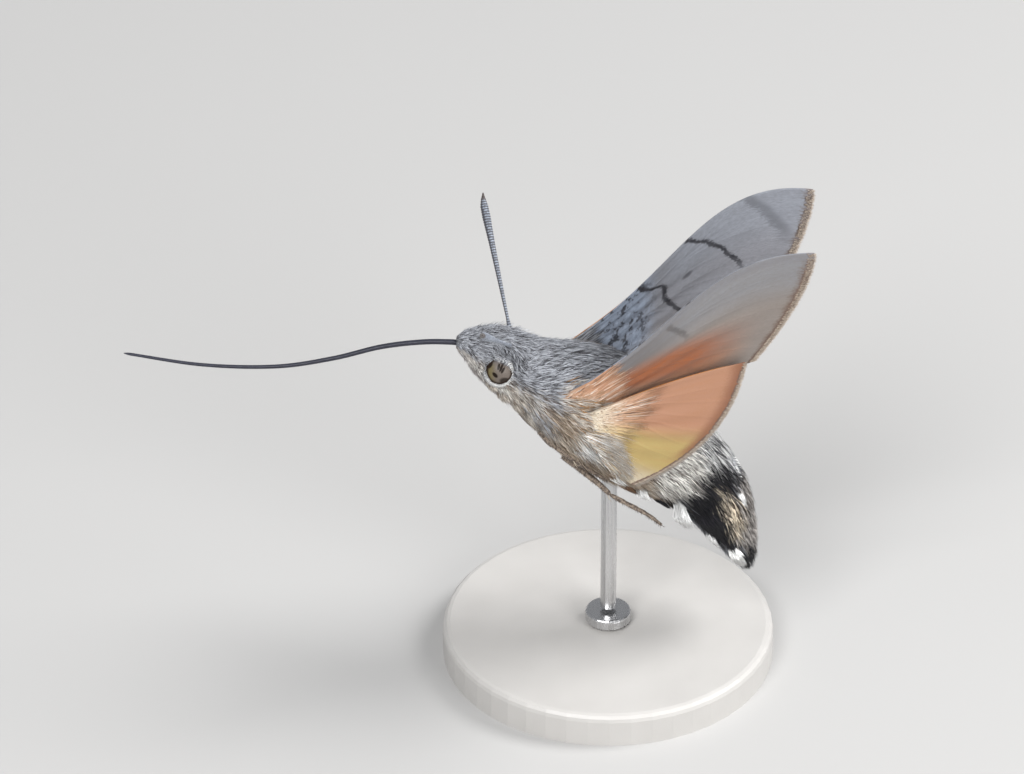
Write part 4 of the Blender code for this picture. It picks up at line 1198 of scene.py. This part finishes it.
def buildAntennae():
    finish, net, shader = newFinish("feelerScales", 0.45, Sheen_Weight=0.2)
    u, v, _ = net.split(net.map("OFBake"))
    ring = net.calc("FRACT", net.calc("MULTIPLY", v, float(feeler["rings"])))
    pale = net.calc("MULTIPLY", net.ease(ring, 0.30, 0.45), net.ease(ring, 0.98, 0.85))
    mottle = net.noise(net.join(net.calc("MULTIPLY", u, 7.0), net.calc("MULTIPLY", v, 60.0)), 1.0, 2.0)
    pale = net.calc("MULTIPLY", pale, net.ease(mottle, 0.36, 0.60, 0.30, 0.95))
    rear = net.calc("COSINE", net.calc("MULTIPLY", u, 2 * math.pi))   # bare along the front
    pale = net.calc("MULTIPLY", pale, net.ease(rear, -0.80, -0.30))
    colour = net.blend(pale, (0.040, 0.040, 0.050), (0.26, 0.295, 0.355))
    colour = net.blend(net.ease(v, 0.93, 0.96, 0.0, 0.9), colour, (0.045, 0.030, 0.024))
    net.put(shader.inputs["Base Color"], colour)
    steps = feeler["rings"] * 5
    for side, word in sideNames.items():
        mirror = np.array([1.0, side, 1.0])
        root, _ = bodyPoint(feeler["at"], feeler["around"], 0.38)
        way = unit(np.array(feeler["way"]))
        f = np.linspace(0, 1, steps + 1)
        run = feeler["length"] + feeler["sunk"]
        bend = feeler["hook"] * np.clip((f - 0.88) / 0.12, 0, 1) ** 2
        hook = np.array([1.0, 0.0, 0.0]) * bend[:, None]
        points = (root - way * feeler["sunk"] + way * run * f[:, None] + hook) * mirror
        club = np.interp(f, [0, 0.05, 0.09, 0.35, 0.62, 0.82, 0.90, 0.95, 0.975, 1.0],
                         [0.14, 0.14, feeler["base"], 0.145, 0.20, feeler["club"], 0.26, 0.17,
                          0.10, 0.04])
        saw = (f * feeler["rings"]) % 1.0
        swell = 1.0 + 0.13 * np.sin(math.pi * saw) - 0.05
        rows = tubeRows(points, club * swell, 20, (1.0, 0.0, 0.0))
        place(gridMesh("feeler_" + word, rows, finish), "antenna", "antenna_" + word)


buildProboscis()
buildAntennae()
print("proboscis and antennae built")


# Legs folded against the belly, with spurs, spines and claws

legs = {
    # s, degrees from the belly line, height over the coat for root, hip, knee, ankle and tip
    "foreleg": [(7.6, 13, -0.50), (7.6, 13, -0.12), (6.4, 17, -0.16), (8.2, 11, -0.06),
                (9.6, 9, 0.04)],
    "midleg": [(9.5, 30, -0.50), (9.5, 30, -0.10), (7.8, 36, -0.12), (11.4, 42, -0.04),
               (14.4, 42, 0.06)],
    "hindleg": [(12.5, 26, -0.40), (12.5, 26, 0.12), (10.9, 21, 0.14), (15.6, 23, 0.95),
                (20.9, 28, 1.42)],
    "radii": [(0.30, 0.27), (0.28, 0.24), (0.25, 0.20), (0.19, 0.12)],
}


def legStretch(side, start, end, count):
    f = np.linspace(0, 1, count)[:, None]
    f = f ** (1.0, 1.0, 1.0 + 1.4 * (end[2] - start[2] > 0.5))   # a shin leaves the belly slowly
    spots = np.asarray(start) + (np.asarray(end) - np.asarray(start)) * f
    return bodyPoint(spots[:, 0], side * (180.0 - spots[:, 1]), spots[:, 2])


def legFinish():
    finish, net, shader = newFinish("legScales", 0.55, Sheen_Weight=0.2)
    where = net.map("OFBake")
    tone = net.noise(net.vector("MULTIPLY", where, (5.0, 26.0, 1.0)), 1.0, 3.0, 0.6)
    colour = net.blend(net.ease(tone, 0.38, 0.62), (0.055, 0.038, 0.028), (0.27, 0.21, 0.16))
    net.put(shader.inputs["Base Color"], colour)
    addBump(net, shader, tone, 0.5, 0.04)
    return finish


def buildLegs():
    rng = np.random.default_rng(47)
    finish = legFinish()
    horn, net, shader = newFinish("spineHorn", 0.4)
    grain, along, _ = net.split(net.map("coatGrain"))
    tint = net.blend(net.ease(grain, 0.80, 0.86), (0.055, 0.035, 0.025), (0.52, 0.44, 0.34))
    net.put(shader.inputs["Base Color"], tint)
    for name in ("foreleg", "midleg", "hindleg"):
        route = legs[name]
        for side, word in sideNames.items():
            rows, spines, ways, widths, grains = [], [], [], [], []
            for part, (start, end) in enumerate(zip(route, route[1:])):
                count = 36
                points, out = legStretch(side, start, end, count)
                first, last = legs["radii"][part]
                f = np.linspace(0, 1, count)
                radii = (first + (last - first) * f) * (0.86 + 0.14 * np.sin(math.pi * f))
                if part == 3:                            # five joints of the foot
                    radii = radii * (0.86 + 0.24 * (f * 5 % 1.0))
                ends = np.clip(np.minimum(f, 1 - f) * 22 + 0.25, 0, 1)
                rows.append(tubeRows(points, radii * np.sqrt(ends), 14))
                along = unit(np.gradient(points, axis=0))
                hairs = (0, 60, 90, 110)[part]
                at = rng.integers(1, count - 1, hairs)
                turn = rng.uniform(0, 2 * math.pi, hairs)
                if part >= 2:
                    turn = rng.normal(0.0, 0.9, hairs)     # mostly on the side away from the belly
                across = np.cross(along[at], out[at])
                way = unit(out[at] * np.cos(turn)[:, None] + across * np.sin(turn)[:, None])
                base = points[at] + way * (radii[at] * 0.7)[:, None]
                stand = 0.95 if part >= 2 else 0.45
                size = rng.uniform(0.16, 0.30, hairs)[:, None]
                tip = base + unit(along[at] * 0.9 + way * stand) * size * (1.0 if part else 0.0)
                spines.append(np.stack([base, (base + tip) / 2, tip], 1))
                ways.append(np.repeat(way[:, None], 3, 1))
                widths.append(np.full(hairs, 0.020))
                grains.append(rng.random(hairs) * 0.8)
                if part == 2 and name != "foreleg":       # spurs of the shin
                    for where, lean, size in ((count - 3, 0.5, 1.0), (count - 3, -0.5, 0.8),
                                              (20, 0.4, 0.75), (20, -0.4, 0.6)):
                        base = points[where] + out[where] * radii[where] * 0.3
                        tip = base + unit(along[where] + out[where] * 0.35
                                          + across[0] * lean) * size
                        bend = (base + tip) / 2 + out[where] * 0.05
                        spines.append(np.stack([base, bend, tip])[None])
                        ways.append(np.repeat(out[where][None, None], 3, 1))
                        widths.append(np.array([0.05]))
                        grains.append(np.array([0.95]))
            for lean in (-1, 1):                           # claws
                base, out1 = points[-1], out[-1]
                hook = base + along[-1] * 0.16 + across[-1] * 0.09 * lean
                tip = hook + along[-1] * 0.05 - out1 * 0.12
                spines.append(np.stack([base, hook, tip])[None])
                ways.append(np.repeat(out1[None, None], 3, 1))
                widths.append(np.array([0.035]))
                grains.append(np.array([0.2]))
            label = "%s_%s" % (name, word)
            tubes = [gridMesh(label + "_part", ring, finish) for ring in rows]
            joinPieces(tubes, "leg_" + label)
            place(tubes[0], "leg", label)
            spines = np.concatenate(spines)
            grown = len(spines)
            roots = np.stack([np.linspace(0.05, 0.95, grown), np.full(grown, 0.5)], -1)
            growTufts("spines_" + label, spines, np.concatenate(ways), np.concatenate(widths), roots,
                      roots, np.concatenate(grains), [1.0, 0.7], "leg", horn, 0.9)


def joinPieces(pieces, name):
    with bpy.context.temp_override(active_object=pieces[0], selected_editable_objects=pieces):
        bpy.ops.object.join()
    pieces[0].name = name
    pieces[0].data.name = name


buildLegs()
print("legs built")


# Hair over the wing roots and down the flank

rootHair = {
    "count": 4200, "length": (1.2, 2.8), "from": (0.1, -0.6), "to": (1.8, -2.5),
    "onHind": 4200, "onFore": 2500, "onEdge": 1200, "onTop": 1700,
}


def downFinish():
    # tufts on the underside of the wings, cream at the root, turning to the wing's own colour
    finish, net, shader = newFinish("wingDown", 0.6, Sheen_Weight=0.06, Specular_IOR_Level=0.3)
    where = net.vector("MULTIPLY", net.map("coatPlace"), (markScale[0], markScale[1], 0.0))
    u, v, _ = net.split(where)
    grain, along, _ = net.split(net.map("coatGrain"))
    wingTone = net.blend(net.ease(u, 0.35, 0.60), (0.62, 0.34, 0.21), (0.66, 0.50, 0.24))
    reach = net.calc("ADD", net.calc("MULTIPLY", v, 2.0), net.calc("MULTIPLY", along, 0.5))
    tone = net.blend(net.ease(reach, 0.25, 0.95), (0.84, 0.75, 0.60), wingTone)
    tone = net.blend(net.ease(grain, 0.62, 0.86, 0.0, 0.7), tone, (0.42, 0.26, 0.15))
    tone = net.blend(net.ease(grain, 0.16, 0.04, 0.0, 0.8), tone, (0.93, 0.90, 0.82))
    tone = net.blend(net.ease(grain, 0.965, 0.975), tone, (0.10, 0.05, 0.03))
    net.put(shader.inputs["Base Color"], tone)
    return finish


wingDown = downFinish()


def growOnWing(name, surface, side, seed, count, length, uRange, face, palette=None,
               tone=(1.0, 0.0)):
    # tufts from under the body's coat out over a wing's root; face 1 is the outer side
    rng = np.random.default_rng(seed)
    u = rng.uniform(*uRange, count)
    v = rng.uniform(0.0, 0.10, count) ** 1.3
    reach = length[0] + (length[1] - length[0]) * rng.random(count) ** 2.0
    t = np.linspace(0, 1, 3)[None]
    drift = rng.normal(0, 0.035, count)[:, None] * t
    spineU = np.clip(u[:, None] + drift, 0.0, 1.0)
    spineV = v[:, None] + reach[:, None] * t
    ways = surfaceWays(surface, spineU, spineV, side) * face
    height = 0.10 - 0.04 * t + rng.uniform(0.0, 0.17, count)[:, None] * np.sin(t * 3.0)
    spine = surface(spineU, spineV, side) + ways * height[..., None]
    inward = surface(u, np.zeros(count), side) - surface(u, np.full(count, 0.05), side)
    spine[:, 0] += unit(inward) * rng.uniform(0.2, 0.9, count)[:, None] - ways[:, 0] * face * 0.35
    marks = np.stack([u * tone[0], v + 0.5 * reach + tone[1]], -1)
    if palette:
        marks = np.tile(palette, (count, 1))
    return growTufts(name, spine, ways, 0.022 * rng.uniform(0.8, 1.2, count),
                     rootMap(*placeOnBody(spine[:, 0])), marks, rng.random(count), [0.9, 1.0],
                     "coat", None if palette else wingDown)


def growRootHair():
    rng = np.random.default_rng(53)
    for side, word in sideNames.items():
        growOnWing("root_hair_hind_" + word, hindSurface, side, 61, rootHair["onHind"], (0.05, 0.50),
                   (0.0, 1.0), 1)
        growOnWing("root_hair_fore_" + word, foreSurface, side, 63, rootHair["onFore"], (0.03, 0.27),
                   (0.20, 1.0), 1, tone=(0.45, 0.12))
        growOnWing("root_hair_edge_" + word, foreSurface, side, 64, rootHair["onEdge"], (0.03, 0.24),
                   (0.0, 0.30), 1, tone=(0.45, 0.20))
        growOnWing("root_hair_top_" + word, foreSurface, side, 65, rootHair["onTop"], (0.04, 0.14),
                   (0.0, 1.0), -1, paletteGrey)
        n = rootHair["count"]
        f = rng.uniform(0, 1, n)
        start = np.array(rootHair["from"]) + (np.array(rootHair["to"]) - rootHair["from"]) * f[:, None]
        start = start + rng.normal(0, 0.22, (n, 2))
        angle = np.radians(np.interp(f, [0, 0.5, 1.0], [-10, -30, -46]) + rng.normal(0, 6, n))
        length = rng.uniform(*rootHair["length"], n) * np.interp(f, [0, 0.3, 1], [0.9, 1.0, 0.85])
        t = np.array([[0.0, 0.38, 1.0]])
        run = length[:, None] * t
        x = start[:, :1] + run * np.cos(angle)[:, None]
        z = start[:, 1:] + run * np.sin(angle)[:, None]
        across = 4.12 + 0.25 * run + rng.uniform(0.0, 0.18, n)[:, None] * t   # over the hindwing
        across = np.where(t > 0, across, 3.55)
        spine = np.stack([x, side * across, z], -1)
        way = np.tile(np.array([0.0, float(side), 0.0]), (n, 3, 1))
        roots = rootMap(*placeOnBody(spine[:, 0]))
        marks = np.where((rng.random(n) < 0.25)[:, None], paletteWhite, paletteCream)
        marks = np.where((rng.random(n) < 0.15)[:, None], paletteSand, marks)
        growTufts("flank_hair_" + word, spine, way, 0.024 * rng.uniform(0.8, 1.2, n), roots, marks,
                  rng.random(n), [0.8, 1.0])


growRootHair()
print("wing root hair built")


# The stand keeps its solids, with satin paint and drawn steel

def buildStand():
    paint, net, shader = newFinish("standPaint", 0.42)
    where = net.vector("SCALE", net.add("ShaderNodeTexCoord").outputs["Object"])
    net.put(where.node.inputs["Scale"], 1.0 / mm)
    cloud = net.noise(where, 0.35, 3.0)
    peel = net.noise(where, 7.0, 2.0)
    net.put(shader.inputs["Base Color"], net.blend(cloud, (0.47, 0.455, 0.435), (0.52, 0.505, 0.485)))
    net.put(shader.inputs["Roughness"], net.ease(cloud, 0.3, 0.7, 0.36, 0.50))
    addBump(net, shader, peel, 0.25, 0.02)
    steel, net, shader = newFinish("standSteel", 0.28, Metallic=1.0)
    where = net.vector("MULTIPLY", net.add("ShaderNodeTexCoord").outputs["Object"],
                       (9000.0, 9000.0, 250.0))
    lines = net.noise(where, 1.0, 3.0, 0.6)
    net.put(shader.inputs["Base Color"], net.blend(lines, (0.50, 0.50, 0.51), (0.66, 0.66, 0.66)))
    net.put(shader.inputs["Roughness"], net.ease(lines, 0.3, 0.7, 0.22, 0.36))
    for name, finish in (("stand_base", paint), ("stand_collar", steel), ("stand_rod", steel)):
        for slot in nodes[name].material_slots:
            slot.material = finish


buildStand()
print("stand finished")


# Camera, light and floor

view = {
    "elevation": 34.0, "distance": 600.0, "across": 70.1,
    "aim": (-6.695, 0.191, 21.884),      # mm in the part's frame
}


def buildCamera():
    data = bpy.data.cameras.new("camera")
    data.sensor_width = 36.0
    data.lens = data.sensor_width * view["distance"] / view["across"]
    camera = bpy.data.objects.new("camera", data)
    tilt = math.radians(view["elevation"])
    back = np.array([0.0, -math.cos(tilt), math.sin(tilt)])
    camera.location = (np.array(view["aim"]) + back * view["distance"]) * mm
    camera.rotation_euler = (math.radians(90.0) - tilt, 0.0, 0.0)
    bpy.context.scene.collection.objects.link(camera)
    bpy.context.scene.camera = camera


def areaLight(name, location, size, power, aim=(-2.0, 0.0, 18.0)):
    data = bpy.data.lights.new(name, "AREA")
    data.shape = "DISK"
    data.size = size * mm
    data.energy = power
    lamp = bpy.data.objects.new(name, data)
    away = np.array(location, float) - np.array(aim)
    lamp.location = np.array(location) * mm
    level = math.hypot(away[0], away[1])
    lamp.rotation_euler = (math.atan2(level, away[2]), 0.0, math.atan2(away[0], -away[1]))
    bpy.context.scene.collection.objects.link(lamp)


def buildStudio():
    bpy.context.scene.view_settings.view_transform = "Standard"
    world = bpy.data.worlds.new("studio")
    world.use_nodes = True
    background = world.node_tree.nodes["Background"]
    background.inputs["Color"].default_value = (0.86, 0.88, 0.92, 1.0)
    background.inputs["Strength"].default_value = 0.40
    bpy.context.scene.world = world
    areaLight("key", (-190, -420, 470), 330, 3.2)
    areaLight("fill", (360, -430, 240), 340, 2.0)
    areaLight("rim", (340, 60, 400), 260, 2.4)
    finish, net, shader = newFinish("floor", 0.9)
    tone = net.noise(net.add("ShaderNodeTexCoord").outputs["Object"], 9.0, 3.0)
    net.put(shader.inputs["Base Color"], net.blend(tone, (0.44, 0.435, 0.427), (0.47, 0.465, 0.457)))
    half = 1000.0
    corners = np.array([(-half, -half), (half, -half), (half, half), (-half, half)])
    points = np.concatenate([corners, np.zeros((4, 1))], axis=1) - thoraxPlace
    floor = makeMesh("floor", points, np.arange(4), np.array([4]), {}, finish)


buildCamera()
buildStudio()
print("camera and studio built")
